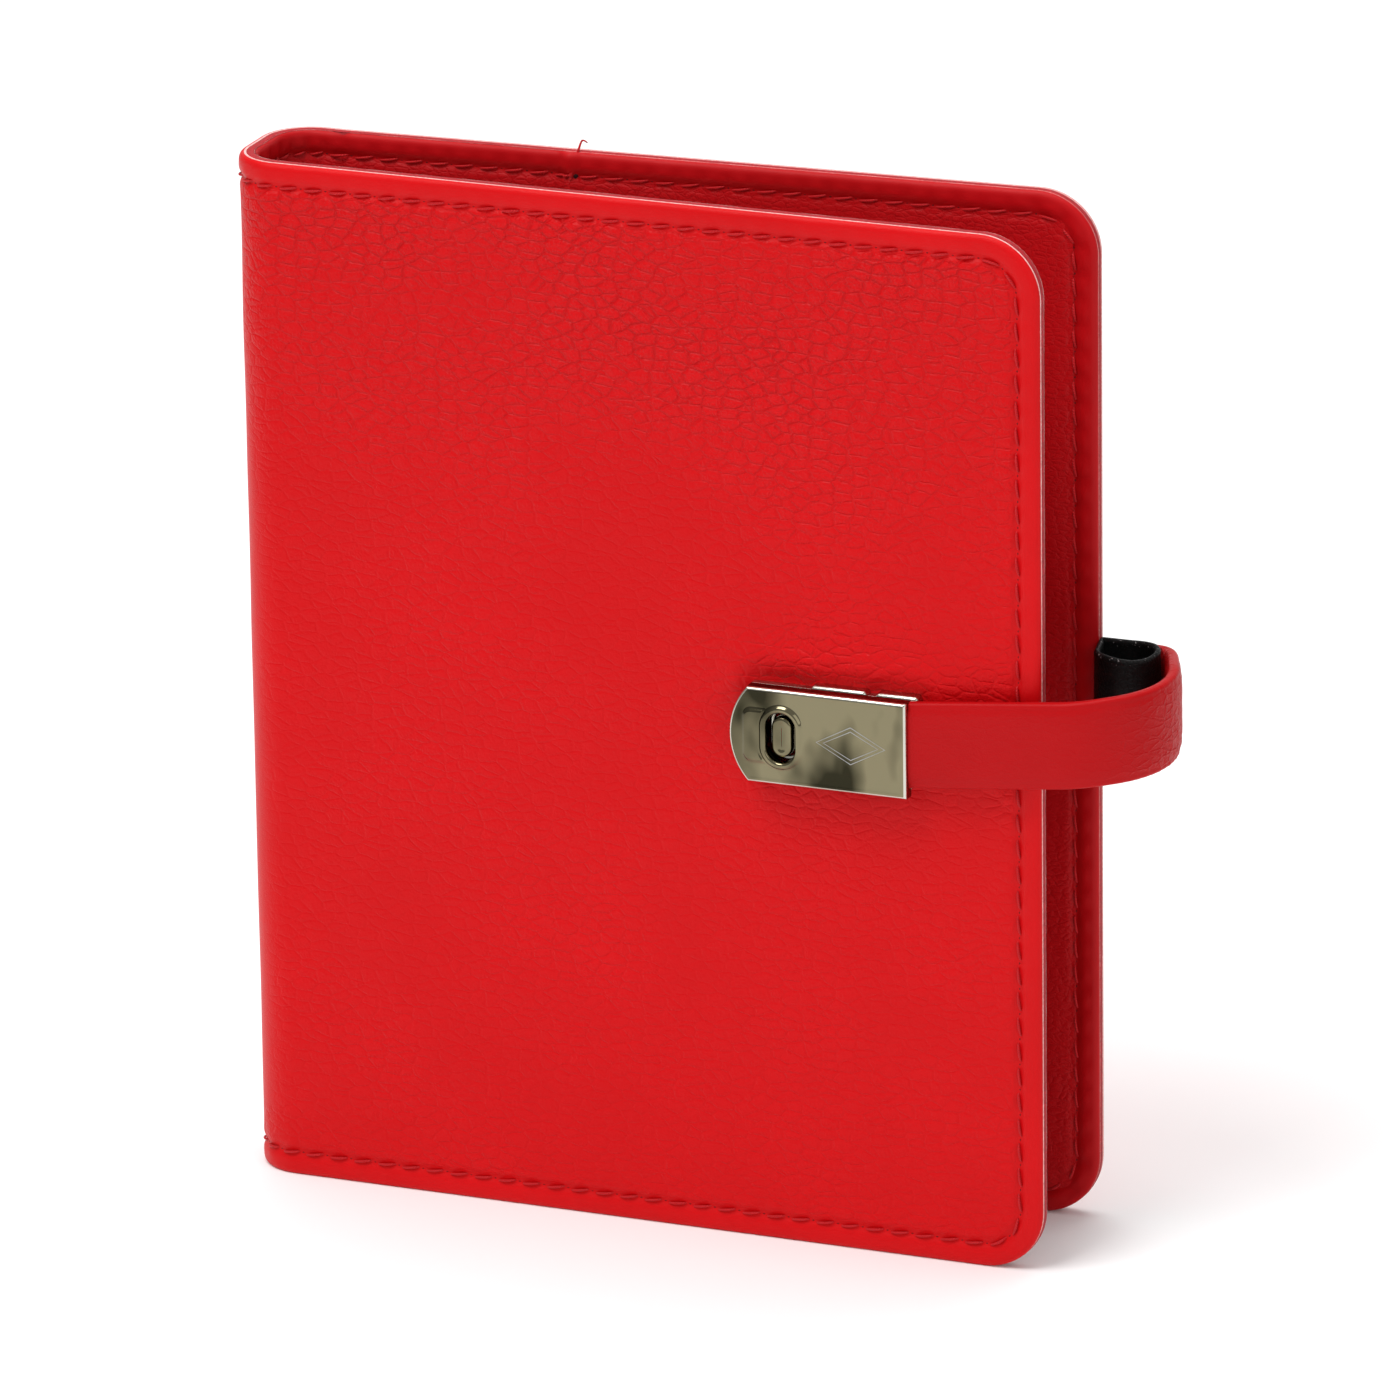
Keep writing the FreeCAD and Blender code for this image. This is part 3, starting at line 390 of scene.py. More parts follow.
def material(name):
    """The notebook's materials, made once and then shared."""
    if not MATERIALS:
        grain = bpy.context.scene.notebook_leather.grain
        MATERIALS.update({
            # The second colour of each grained leather is painted shade for the grain's creases.
            "leather": pu_leather("red_grained_leather", colour("#C8060C"), colour("#86040A"),
                                  colour("#D0080F"), grain, 0.75, 0.40),
            "strap": pu_leather("red_strap_leather", colour("#AC0409"), colour("#780308"),
                                colour("#B4060C"), grain * 0.8, 0.55, 0.42),
            # Painted shade: the lining's colours are darker than the cover leather's, for the shade inside
            # the case.
            "lining": pu_leather("red_lining_leather_shaded", colour("#B0080F"), colour("#74040A"),
                                 colour("#B80A12"), grain * 0.55, 0.30, 0.46),
            "welt": cut_edge("red_edge", colour("#B81420"), colour("#8E0C14")),
            "raw": cut_edge("pale_backing", colour("#F0C6C2"), colour("#D98E8C")),
            "thread": thread_material("red_thread", colour("#CC0A16"), colour("#A0060E")),
            # The needle holes are dark discs of painted shade.
            "hole": hole_shade_material(),
            # The lock plate's olive-grey colour and its dark second colour are painted reflections of dark
            # surroundings.
            "plate": plated("nickel_with_painted_reflections", colour("#7E775E"), colour("#2E2C20"), 0.06),
            "nickel": plated("bright_nickel", colour("#C9C6BC"), colour("#B8B4A6"), 0.14),
            "steel": zinc("zinc_steel"),
            "black": black_leather("black_loop_leather"),
            "paper": paper("ruled_paper"),
            "board": greyboard("grey_board"),
        })
    return MATERIALS[name]


# ------------------------------------------------------------------ mesh tools
def grid(rows, columns, wrap=False, flip=False):
    """Quads of a rows x columns net of points; wrap closes it along the columns."""
    index = np.arange(rows * columns).reshape(rows, columns)
    if wrap:
        index = np.hstack([index, index[:, :1]])
    quads = np.stack([index[:-1, :-1], index[1:, :-1], index[1:, 1:], index[:-1, 1:]], -1).reshape(-1, 4)
    return quads[:, ::-1] if flip else quads


def piece(name, points, faces, skins, flat=None, plain=None, face_skin=None, weld=False):
    """Mesh object from points in millimetres of the case's own frame.

    flat is each point's place on the unrolled sheet in metres; plain is 1 where there is no grain.
    """
    points = np.asarray(points, float).reshape(-1, 3)
    faces = np.asarray(faces)
    if face_skin is None:
        face_skin = np.zeros(len(faces), int)
    keep = np.arange(len(points))
    if weld:
        _, keep, inverse = np.unique(np.round(points, 5), axis=0, return_index=True, return_inverse=True)
        faces = inverse.reshape(-1)[faces]
    same = faces == np.roll(faces, -1, axis=1)
    whole = ~same.any(axis=1)
    tris = faces[same.sum(axis=1) == 1]
    tris = tris[~(tris == np.roll(tris, -1, axis=1))].reshape(-1, 3)
    mesh = bpy.data.meshes.new(name)
    mesh.from_pydata(((points[keep] + ORIGIN) * MM).tolist(), [],
                     faces[whole].tolist() + tris.tolist())
    mesh.polygons.foreach_set("material_index", np.concatenate(
        [face_skin[whole], face_skin[same.sum(axis=1) == 1]]).astype(np.int32))
    mesh.polygons.foreach_set("use_smooth", np.ones(len(mesh.polygons), bool))
    if flat is not None:
        layer = mesh.attributes.new("flat", "FLOAT_VECTOR", "POINT")
        layer.data.foreach_set("vector", np.asarray(flat, float).reshape(-1, 3)[keep].ravel())
    if plain is not None:
        layer = mesh.attributes.new("plain", "FLOAT", "POINT")
        layer.data.foreach_set("value", np.asarray(plain, float).ravel()[keep])
    for skin in skins:
        mesh.materials.append(material(skin))
    mesh.update()
    result = bpy.data.objects.new(name, mesh)
    bpy.context.scene.collection.objects.link(result)
    return result


def join(parts):
    """Stack nets (points, faces, flat, plain, skin) into one."""
    starts = np.cumsum([0] + [len(p[0]) for p in parts[:-1]])
    return (np.vstack([p[0] for p in parts]),
            np.vstack([p[1] + start for p, start in zip(parts, starts)]),
            np.vstack([p[2] for p in parts]), np.concatenate([p[3] for p in parts]),
            np.concatenate([p[4] for p in parts]))


def bare(net, wrap=True, flip=False, plain=1.0):
    """Net as a part for join, with no sheet coordinates."""
    count = net.size // 3
    faces = grid(*net.shape[:2], wrap=wrap, flip=flip)
    return net.reshape(-1, 3), faces, np.zeros((count, 3)), np.full(count, plain), np.zeros(len(faces), int)


def smoothstep(value, low_edge, high_edge):
    t = np.clip((value - low_edge) / (high_edge - low_edge), 0, 1)
    return t * t * (3 - 2 * t)


# ------------------------------------------------------------------ the folded sheet
def fold(s, z, depth, back=False):
    """Place a point of the flat sheet on the case.

    s is the distance from the middle of the spine, depth is measured inward from the outer face.
    The section is a straight half of the spine's back, a quarter circle of radius 7 mm, then the
    cover. The back cover is the mirror image, turned 3 degrees about its crease:
    P(s) = C + (R - depth)(-cos a, -sin a), a = (s - flat) / R, on the quarter circle.
    """
    s, z, depth = np.broadcast_arrays(np.asarray(s, float), z, depth)
    angle = np.clip((s - FLAT_SPINE) / SPINE_ROUND, 0, math.pi / 2)
    reach = SPINE_ROUND - depth
    x = SPINE_ROUND - reach * np.cos(angle)
    y = SPINE_ROUND - reach * np.sin(angle)
    y = y + np.clip(FLAT_SPINE - s, 0, None)
    x = x + np.clip(s - FLAT_SPINE - ARC_SPINE, 0, None)
    if back:
        y = DEPTH - y
        turn = LEAN * smoothstep(x, CREASE - 2.5, CREASE + 2.5)
        turn = np.where(s < FLAT_SPINE, 0.0, turn)
        cx, cy = CREASE, DEPTH - CREASE_MID
        dx, dy = x - cx, y - cy
        x = cx + dx * np.cos(turn) - dy * np.sin(turn)
        y = cy + dx * np.sin(turn) + dy * np.cos(turn)
    return np.stack([x, y, z], -1)


def edge_frame(step, radius, end=SHEET, top=HEIGHT, bottom=0.0, start=0.0):
    """Walk round the three open sides. Returns base points, outward directions and run lengths."""
    count_s = max(2, int((end - radius - start) / step))
    count_z = max(2, int((top - bottom - 2 * radius) / step))
    s = np.linspace(start, end - radius, count_s)
    z = np.linspace(top - radius, bottom + radius, count_z)
    a = np.radians(np.linspace(90, 0, 18))[1:-1]
    corner = np.stack([np.full_like(a, end - radius), np.full_like(a, top - radius)], -1)
    low_corner = np.stack([np.full_like(a, end - radius), np.full_like(a, bottom + radius)], -1)
    base = np.vstack([np.stack([s, np.full_like(s, top - radius)], -1), corner,
                      np.stack([np.full_like(z, end - radius), z], -1), low_corner,
                      np.stack([s[::-1], np.full_like(s, bottom + radius)], -1)])
    out = np.vstack([np.tile([0.0, 1.0], (len(s), 1)), np.stack([np.cos(a), np.sin(a)], -1),
                     np.tile([1.0, 0.0], (len(z), 1)), np.stack([np.sin(a), -np.cos(a)], -1),
                     np.tile([0.0, -1.0], (len(s), 1))])
    low_a = np.radians(np.linspace(0, -90, 18))[1:-1]
    first = len(s) + len(a) + len(z)
    out[first:first + len(a)] = np.stack([np.cos(low_a), np.sin(low_a)], -1)
    edge = base + out * radius
    run = np.concatenate([[0], np.cumsum(np.linalg.norm(np.diff(edge - out * 3.3, axis=0), axis=1))])
    return base, out, run, s, z


def waves(s, z, seed, size):
    """Smooth unevenness of height size: a sum of eight seeded sine waves."""
    rng = np.random.default_rng(seed)
    total = np.zeros(np.broadcast(s, z).shape)
    for _ in range(8):
        length = rng.uniform(16, 60)
        heading = rng.uniform(0, math.pi)
        phase = rng.uniform(0, 2 * math.pi)
        total += np.sin(2 * math.pi * (s * math.cos(heading) + z * math.sin(heading)) / length + phase)
    return total * size / 8 ** 0.5


POCKET_S = SHEET - 75.0
LOCK_S = SHEET - 28.7
LOCK_Z = 73.6


def relief(s, z, margin, run, leather, seed, lock=False):
    """Height of the leather above the face of the solid, in millimetres.

    A groove along the stitch line, a low crowned hem outside it, a rolled edge and needle dimples:
    h = -g exp(-((m - m0) / 0.8)^2) + r sin(pi m / m0)^0.7 - 0.55 (1 - sqrt(1 - (1 - m / 0.9)^2)).
    Round the lock it is pulled in at the base and puckers up 2.6 mm away, most above the base.
    """
    m0 = leather.margin / MM
    g = leather.groove / MM
    roll = leather.hem / MM
    pitch = leather.pitch / MM
    h = -g * np.exp(-((margin - m0) / 0.8) ** 2)
    h = h + roll * np.sin(math.pi * np.clip(margin / m0, 0, 1)) ** 0.7
    edge = np.clip(1 - margin / 0.9, 0, 1)
    h = h - 0.55 * (1 - np.sqrt(1 - edge ** 2))
    beat = np.cos(2 * math.pi * run / pitch)
    h = h - 0.16 * (0.5 + 0.5 * beat) * np.exp(-((margin - m0) / 0.45) ** 2)
    h = h - 0.05 * beat * np.exp(-((margin - m0 + 1.1) / 0.7) ** 2)
    h = h - 0.06 * beat * np.exp(-((margin - m0 - 1.2) / 0.8) ** 2)
    h = h + waves(s, z, seed, 0.08) * smoothstep(margin, m0, m0 + 6) * smoothstep(s, 0.0, 12.0)
    h = h + 0.03 * np.sin(run * 0.9 + 1.7 * np.sin(run * 0.23)) * np.exp(-((margin - m0 / 2) / 1.0) ** 2)
    if lock:
        dx = np.clip(np.abs(s - LOCK_S) - 11.9, 0, None)
        dz = np.clip(np.abs(z - LOCK_Z) - 6.8, 0, None)
        gap = np.hypot(dx, dz)
        around = np.arctan2(z - LOCK_Z, s - LOCK_S)
        above = smoothstep(z, LOCK_Z + 2.0, LOCK_Z + 7.0)
        h = h - 0.18 * np.exp(-(gap / 0.8) ** 2)
        h = h + (0.10 + 0.30 * above) * np.exp(-((gap - 2.6) / 2.0) ** 2) * (1 + 0.25 * np.sin(around * 7))
        h = h + 0.035 * above * np.sin(2.6 * z - 1.3 * s) * np.exp(-((gap - 3.2) / 2.0) ** 2)
    return h


def pocket_lift(s, back, inside):
    """Thickness that the full-height pocket adds to the back cover's lining, with its folded mouth."""
    if not (back and inside):
        return 0.0
    at = s - (POCKET_S - 0.3)
    return 0.28 * smoothstep(at, 0.0, 0.35) + 0.60 * smoothstep(at, 0.0, 0.5) * (1 - smoothstep(at, 1.9, 2.5))


def covering(name, leather, back, inside, step, seed):
    """One half of the case's leather or lining: an edge band round three sides and the panel."""
    margins = np.concatenate([np.linspace(CORNER, 4.6, 9), np.linspace(4.2, 2.6, 9),
                              np.linspace(2.3, 0.5, 8), [0.28, 0.12, 0.03, 0.0]])
    base, out, run, s, z = edge_frame(step, CORNER)
    at = base[None] + out[None] * (CORNER - margins)[:, None, None]
    side = -1.0 if not inside else 1.0
    level = 0.0 if not inside else COVER
    lock = not back and not inside
    h = relief(at[..., 0], at[..., 1], margins[:, None], run[None], leather, seed, lock)
    if inside:
        puff = np.abs(np.sin(math.pi * run[None] / (leather.pitch / MM))) ** 0.6
        h = h + 0.30 * (puff - 0.6) * np.exp(-((margins[:, None] - 1.9) / 0.8) ** 2)
        h = h - 0.55 * np.exp(-((at[..., 0] - CREASE - SHEET + WIDTH) / 0.6) ** 2)
    h = h + pocket_lift(at[..., 0], back, inside)
    depth = level + side * h
    body = fold(at[..., 0], at[..., 1], depth, back)
    flat = np.concatenate([at, np.zeros_like(at[..., :1])], -1) * MM
    rim_margin = np.zeros(4)
    rim_depth = np.array([0.58, 0.62, 0.86, 0.95]) if not inside else np.array([2.14, 2.10, 1.92, 1.86])
    rim_at = base[None] + out[None] * (CORNER - rim_margin)[:, None, None]
    rim = fold(rim_at[..., 0], rim_at[..., 1], rim_depth[:, None] + 0 * rim_at[..., 0], back)
    net = np.concatenate([body, rim])
    flat = np.concatenate([flat, np.concatenate([rim_at, np.zeros_like(rim_at[..., :1])], -1) * MM])
    rows, columns = net.shape[:2]
    faces = grid(rows, columns, flip=(back == inside))
    skin = np.repeat(np.arange(rows - 1), columns - 1)
    skin = ((skin >= rows - 3) & (skin < rows - 1)).astype(int)
    m_all = np.concatenate([margins, rim_margin])[:, None] + 0 * net[..., 0]
    plain = 1 - smoothstep(m_all, leather.margin / MM - 0.2, leather.margin / MM + 1.2)
    band = (net.reshape(-1, 3), faces, flat.reshape(-1, 3), plain.ravel(), skin)

    ss, zz = np.meshgrid(s, z, indexing="ij")
    margin = np.minimum(np.minimum(HEIGHT - zz, zz), SHEET - ss)
    h = relief(ss, zz, margin, 0.0 * ss, leather, seed, lock) + pocket_lift(ss, back, inside)
    inner = fold(ss, zz, level + side * h, back)
    plain = np.exp(-(ss / 9.0) ** 2)
    panel = (inner.reshape(-1, 3), grid(len(s), len(z), flip=(back == inside)),
             np.stack([ss, zz, 0 * ss], -1).reshape(-1, 3) * MM, plain.ravel(),
             np.zeros((len(s) - 1) * (len(z) - 1), int))
    points, faces, flat, plain, skin = join([band, panel])
    if not inside:
        upper = smoothstep(flat[:, 1] / MM, 85.0, 138.0)
        plain = np.clip(plain + 0.62 * (1 - upper), 0, 1)
    skins = ["lining", "raw"] if inside else ["leather", "raw"]
    return piece(name, points, faces, skins, flat, plain, skin, weld=True)


def edge_strip(name, back, step):
    """Welt between the two raw edges: a shallow rounded strip round the three open sides."""
    base, out, run, _, _ = edge_frame(step * 2, CORNER)
    t = np.linspace(-1, 1, 7)
    depth = 1.5 + 0.66 * t
    bulge = 0.12 * np.sqrt(1 - t ** 2) - 0.06
    margins = np.concatenate([[COVER], -bulge, [COVER]])
    depths = np.concatenate([[depth[0]], depth, [depth[-1]]])
    at = base[None] + out[None] * (CORNER - margins)[:, None, None]
    wave = 0.04 * np.sin(run * 0.7) * np.cos(run * 0.31)
    net = fold(at[..., 0], at[..., 1], depths[:, None] + wave[None], back)
    flat = np.concatenate([at, np.zeros_like(at[..., :1])], -1) * MM
    return piece(name, net, grid(*net.shape[:2], flip=back), ["welt"], flat, np.ones(net.shape[:2]))


def stitch_row(path, leather, seed, slant=0.42, share=0.82):
    """Threads, and needle holes drawn as dark discs of painted shade, along a line.

    path(run, across, height) gives the place of a point beside the line; run goes from 0 to path.length.
    Each thread is a bent capsule: it dips into the hole at both ends, height = top sin(pi t)^0.5.
    """
    pitch = leather.pitch / MM
    radius = leather.thread / MM / 2
    rng = np.random.default_rng(seed)
    count = int(path.length / pitch)
    first = (np.arange(count) + 0.5 * (1 - share)) * pitch
    t = np.linspace(0, 1, 11)
    a = np.linspace(0, 2 * math.pi, 8, endpoint=False)
    taper = np.clip(np.sin(math.pi * t), 0, 1) ** 0.3
    lean = slant * (1 + rng.uniform(-0.25, 0.25, count))
    lift = 0.20 + rng.uniform(-0.04, 0.04, count)
    run = first[:, None] + t[None] * pitch * share
    across = lean[:, None] * (t[None] - 0.5)
    height = (0.42 + lift[:, None]) * np.sin(math.pi * t[None]) ** 0.5 - 0.48
    cos, sin = np.cos(a), np.sin(a)
    points = path(run[..., None] + 0 * cos, across[..., None] + radius * taper[None, :, None] * cos,
                  height[..., None] + radius * taper[None, :, None] * sin)
    flat = np.stack([run[..., None] + 0 * cos, 0 * run[..., None] + a * 1000,
                     0 * run[..., None] + 0 * a], -1) * MM
    one = grid(len(t), len(a), wrap=True)
    faces = (one[None] + (np.arange(count) * len(t) * len(a))[:, None, None]).reshape(-1, 4)
    threads = (points.reshape(-1, 3), faces, flat.reshape(-1, 3), np.ones(points.size // 3),
               np.zeros(len(faces), int))
    # Needle holes: shallow discs in the dark second material, painted shade where the thread goes in.
    rim = np.array([0.0, 0.6, 1.0])
    hole_run = first + pitch * (share + 0.5 * (1 - share))
    shape = rim[:, None] * np.ones(8)
    centre = hole_run[:, None, None]
    points = path(centre + 0.40 * shape * cos, 0.36 * shape * sin + 0 * centre,
                  (-0.27 - 0.13 * rim[:, None] + 0 * shape)[None] + 0 * hole_run[:, None, None])
    one = grid(3, 8, wrap=True)
    faces = (one[None] + (np.arange(count) * 24)[:, None, None]).reshape(-1, 4)
    holes = (points.reshape(-1, 3), faces, np.zeros((points.size // 3, 3)), np.ones(points.size // 3),
             np.ones(len(faces), int))
    return join([threads, holes])


class EdgePath:
    """Stitch line round the three open sides of a cover, at the stitch margin."""

    def __init__(self, back, inside, leather):
        base, out, run, _, _ = edge_frame(0.5, CORNER)
        self.base, self.out, self.run = base, out, run
        self.length = run[-1]
        self.margin = leather.margin / MM
        self.groove = leather.groove / MM
        self.back, self.inside = back, inside

    def __call__(self, run, across, height):
        base = np.stack([np.interp(run, self.run, self.base[:, k]) for k in (0, 1)], -1)
        out = np.stack([np.interp(run, self.run, self.out[:, k]) for k in (0, 1)], -1)
        at = base + out * (CORNER - self.margin + across)[..., None]
        lift = height - self.groove + 0.16 + pocket_lift(at[..., 0], self.back, self.inside)
        depth = COVER + lift if self.inside else -lift
        return fold(at[..., 0], at[..., 1], depth, self.back)


class LinePath:
    """Straight stitch line on a cover's face between two points of the flat sheet."""

    def __init__(self, start, end, level, back, inside=True):
        self.start, self.end = np.array(start, float), np.array(end, float)
        self.length = float(np.linalg.norm(self.end - self.start))
        self.level, self.back, self.inside = level, back, inside

    def __call__(self, run, across, height):
        along = (self.end - self.start) / self.length
        side = np.array([-along[1], along[0]])
        at = self.start + run[..., None] * along + across[..., None] * side
        depth = self.level + height if self.inside else self.level - height
        return fold(at[..., 0], at[..., 1], depth, self.back)


def stitches(name, paths, leather, seed):
    """One object for the threads of several stitch lines."""
    points, faces, flat, plain, skin = join([stitch_row(p, leather, seed + k) for k, p in enumerate(paths)])
    return piece(name, points, faces, ["thread", "hole"], flat, plain, skin)


def cross_crease(obj):
    """Bake the piece's placement into its mesh."""
    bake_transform(obj)


# ------------------------------------------------------------------ the strap
STRAP_THICK = 2.1
STRAP_WIDE = 12.1
STRAP_ROOT = 38.0
ROOT_Z = 75.4
REACH = 15.85
BEND_R = 13.0
STRAP_FRONT_Y = -3.6
BEND = np.array([WIDTH + REACH - BEND_R, BEND_R + STRAP_FRONT_Y])
ROOT_DIR = np.array([math.cos(LEAN), math.sin(LEAN)])
ROOT_OUT = np.array([-math.sin(LEAN), math.cos(LEAN)])
SPLIT_HIGH = math.radians(22.0)
SPLIT_LOW = math.radians(-56.0)
PLATE_X1 = WIDTH - 17.5


def strap_root_end():
    dx, dy = WIDTH + 2.5 - CREASE, CREASE_MID
    return np.array([CREASE + dx * math.cos(LEAN) - dy * math.sin(LEAN),
                     DEPTH - CREASE_MID + dx * math.sin(LEAN) + dy * math.cos(LEAN)])


def strap_line():
    """Mid line of the strap from its sewn end to the lock plate, with its outward normals.

    Straight on the back cover, a cubic Bezier over the edge, an arc of 11.95 mm, straight again.
    Its height falls evenly from the bend to the plate.
    """
    half = STRAP_THICK / 2
    end = strap_root_end() + ROOT_OUT * half
    start = end - ROOT_DIR * STRAP_ROOT
    t = np.linspace(0, 1, 60)[:, None]
    root = start + (end - start) * t
    q = BEND + (BEND_R - half) * np.array([math.cos(SPLIT_HIGH), math.sin(SPLIT_HIGH)])
    back = np.array([-math.sin(SPLIT_HIGH), math.cos(SPLIT_HIGH)])
    poles = [end, end + ROOT_DIR * 8.0, q + back * 10.0, q]
    shoulder = sum(w * p for w, p in zip(
        ((1 - t) ** 3, 3 * t * (1 - t) ** 2, 3 * t ** 2 * (1 - t), t ** 3), poles))
    angle = np.linspace(SPLIT_HIGH, -math.pi / 2, 70)[:, None]
    arc = BEND + (BEND_R - half) * np.hstack([np.cos(angle), np.sin(angle)])
    front_end = np.array([PLATE_X1 - 2.0, STRAP_FRONT_Y + half])
    front = arc[-1] + (front_end - arc[-1]) * t
    line = np.vstack([root[:-1], shoulder[:-1], arc[:-1], front])
    length = np.concatenate([[0], np.cumsum(np.linalg.norm(np.diff(line, axis=0), axis=1))])
    low_cut = length[-1] - (np.linalg.norm(front_end - arc[-1]) + (BEND_R - half) * (SPLIT_LOW + math.pi / 2))
    knots = [0.0, STRAP_ROOT, length[118], low_cut, length[-1]]
    z = np.interp(length, knots, [ROOT_Z, ROOT_Z, 77.8, 77.14, 73.98])
    kernel = np.ones(9) / 9
    z = np.interp(length, np.convolve(length, kernel, "valid"), np.convolve(z, kernel, "valid"))
    return np.column_stack([line, z]), length


def strap_section():
    """Rounded bar section: half width and half thickness to the power 5, slightly crowned."""
    a = np.linspace(0, 2 * math.pi, 56, endpoint=False)
    c, s = np.cos(a), np.sin(a)
    across = np.sign(c) * np.abs(c) ** 0.42 * STRAP_WIDE / 2
    out = np.sign(s) * np.abs(s) ** 0.55 * STRAP_THICK / 2
    return across, out


def strap_part(name, a0, a1):
    """Length of strap between two distances along its mid line."""
    line, length = strap_line()
    run = np.linspace(a0, a1, int((a1 - a0) / 0.45))
    scale = np.ones(len(run))
    cap = np.array([0.0, 0.5, 0.8, 0.93])
    if a0 == 0.0:
        run, scale = np.concatenate([0.12 * cap, run[1:] + 0.1]), np.concatenate([cap, scale[1:]])
    if a1 >= length[-1]:
        run = np.concatenate([run[:-1], a1 - 0.12 * cap[::-1]])
        scale = np.concatenate([scale[:-1], cap[::-1]])
    mid = np.stack([np.interp(run, length, line[:, k]) for k in (0, 1)], -1)
    ahead = np.stack([np.interp(run + 0.2, length, line[:, k]) for k in (0, 1)], -1)
    behind = np.stack([np.interp(run - 0.2, length, line[:, k]) for k in (0, 1)], -1)
    along = ahead - behind
    along /= np.linalg.norm(along, axis=1)[:, None]
    normal = np.stack([-along[:, 1], along[:, 0]], -1)
    across, out = strap_section()
    bend = np.exp(-((run - 61.0) / 8.0) ** 2)
    crease = 0.07 * bend[:, None] * np.sin(run[:, None] * 5.2 + 1.4 * np.sin(across[None] * 0.8)) ** 3
    edge = np.abs(across) / (STRAP_WIDE / 2)
    groove = -0.10 * np.exp(-((edge - 0.86) / 0.05) ** 2) * (out > 0)
    lift = out[None] + (crease + groove[None]) * (out[None] > 0)
    xy = mid[:, None] + normal[:, None] * (lift * scale[:, None])[..., None]
    z = np.interp(run, length, line[:, 2])[:, None] + across[None] * scale[:, None]
    points = np.concatenate([xy, z[..., None]], -1)
    flat = np.stack([run[:, None] + 0 * across, z, 0 * z], -1) * MM
    inner = (out < 0)[None] & np.ones((len(run), 1), bool)
    plain = np.clip(0.9 - 0.9 * bend[:, None] + 0.8 * smoothstep(edge, 0.8, 0.95)[None], 0, 1)
    plain = np.where(inner, 0.2, plain)
    rows, columns = points.shape[:2]
    return piece(name, points, grid(rows, columns, wrap=True, flip=True), ["strap"], flat, plain, weld=True)


def strap_blend(obj):
    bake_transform(obj)


# ------------------------------------------------------------------ operators
class NOTEBOOK_OT_covers(bpy.types.Operator):
    """Grained leather, lining, edge strips and stitching of both covers and the spine"""

    bl_idname = "notebook.covers"
    bl_label = "Covers"

    def execute(self, context):
        leather = context.scene.notebook_leather
        step = leather.step / MM
        for back, side in ((False, "front"), (True, "back")):
            outer = covering(side + "_leather", leather, back, False, step, 11 + back)
            inner = covering(side + "_lining_sheet", leather, back, True, step * 1.4, 21 + back)
            strip = edge_strip(side + "_edge_strip", back, step)
            rows = stitches(side + "_stitches", [EdgePath(back, False, leather)], leather, 31 + back)
            inner_rows = stitches(side + "_lining_stitches", [EdgePath(back, True, leather)],
                                  leather, 41 + back)
            for obj in (outer, inner, strip, rows, inner_rows):
                cross_crease(obj)
            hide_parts(side + "_cover_skin", *(["spine_skin"] if not back else []))
            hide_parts(side + "_cover_lining", *(["spine_lining"] if not back else []))
            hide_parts(side + "_edge_welt", *(["spine_edge_welt"] if not back else []))
        return {"FINISHED"}


def thread_tail():
    """Loose end of thread at the top of the pocket's seam: a tapering curl 0.48 mm thick at its root."""
    t = np.linspace(0, 1, 24)[:, None]
    a = np.linspace(0, 2 * math.pi, 6, endpoint=False)[None]
    r = 0.24 * (1 - 0.6 * t)
    s = POCKET_S + 1.0 + 2.2 * t ** 1.5 + 0.25 * np.sin(t * 5) + r * np.cos(a)
    z = HEIGHT - 3.4 + 5.0 * np.sin(t * 1.9) + r * np.sin(a)
    depth = COVER + 0.5 - 1.6 * t + 0.3 * np.cos(t * 6) + 0 * a
    net = fold(s, z, depth, True)
    return piece("thread_end", net, grid(*net.shape[:2], wrap=True), ["thread"],
                 np.stack([t + 0 * a, 0 * t + a, 0 * s], -1) * MM)


def pocket_sheet(name, s0, s1, z0, z1, level, back, open_side, step=0.9):
    """Pocket panel: a sheet swelling 0.35 mm between its sewn sides, folded over at its mouth.

    h = 0.25 + 0.35 sqrt(sin(pi u) sin(pi v)) + fold, where the fold is a flat hem 2.3 mm wide.
    """
    s = np.linspace(s0, s1, int((s1 - s0) / step))
    z = np.linspace(z0, z1, int((z1 - z0) / step))
    hem = np.array([0, 0.02, 0.15, 0.5, 1.0, 1.6, 2.1, 2.35, 2.5, 2.8])
    if open_side == "spine":
        s = np.concatenate([s0 + hem, s[s > s0 + 3.2]])
    else:
        z = np.concatenate([z[z < z1 - 3.2], z1 - hem[::-1]])
    ss, zz = np.meshgrid(s, z, indexing="ij")
    u, v = (ss - s0) / (s1 - s0), (zz - z0) / (z1 - z0)
    mouth = (ss - s0) if open_side == "spine" else (z1 - zz)
    h = 0.25 + 0.35 * np.sin(math.pi * np.clip(u, 0, 1)) ** 0.5 * np.sin(math.pi * np.clip(v, 0, 1)) ** 0.5
    h = h + 0.30 * (1 - smoothstep(mouth, 2.1, 2.5)) * smoothstep(mouth, -0.01, 0.4)
    h = h - 0.16 * np.exp(-((mouth - 1.9) / 0.25) ** 2)
    far = np.minimum(np.minimum(zz - z0, z1 - zz) if open_side == "spine" else np.minimum(ss - s0, zz - z0),
                     s1 - ss)
    h = h * (0.35 + 0.65 * smoothstep(far, 0.0, 2.5)) * np.where(mouth < 0.01, 0.1, 1.0)
    h = h + waves(ss, zz, 77, 0.06)
    net = fold(ss, zz, level + h, back)
    plain = np.clip(1 - smoothstep(mouth, 2.2, 3.2), 0.15, 1)
    flat = np.stack([ss, zz, 0 * ss], -1) * MM
    obj = piece(name, net, grid(len(s), len(z), flip=not back), ["lining"], flat, plain)
    return obj


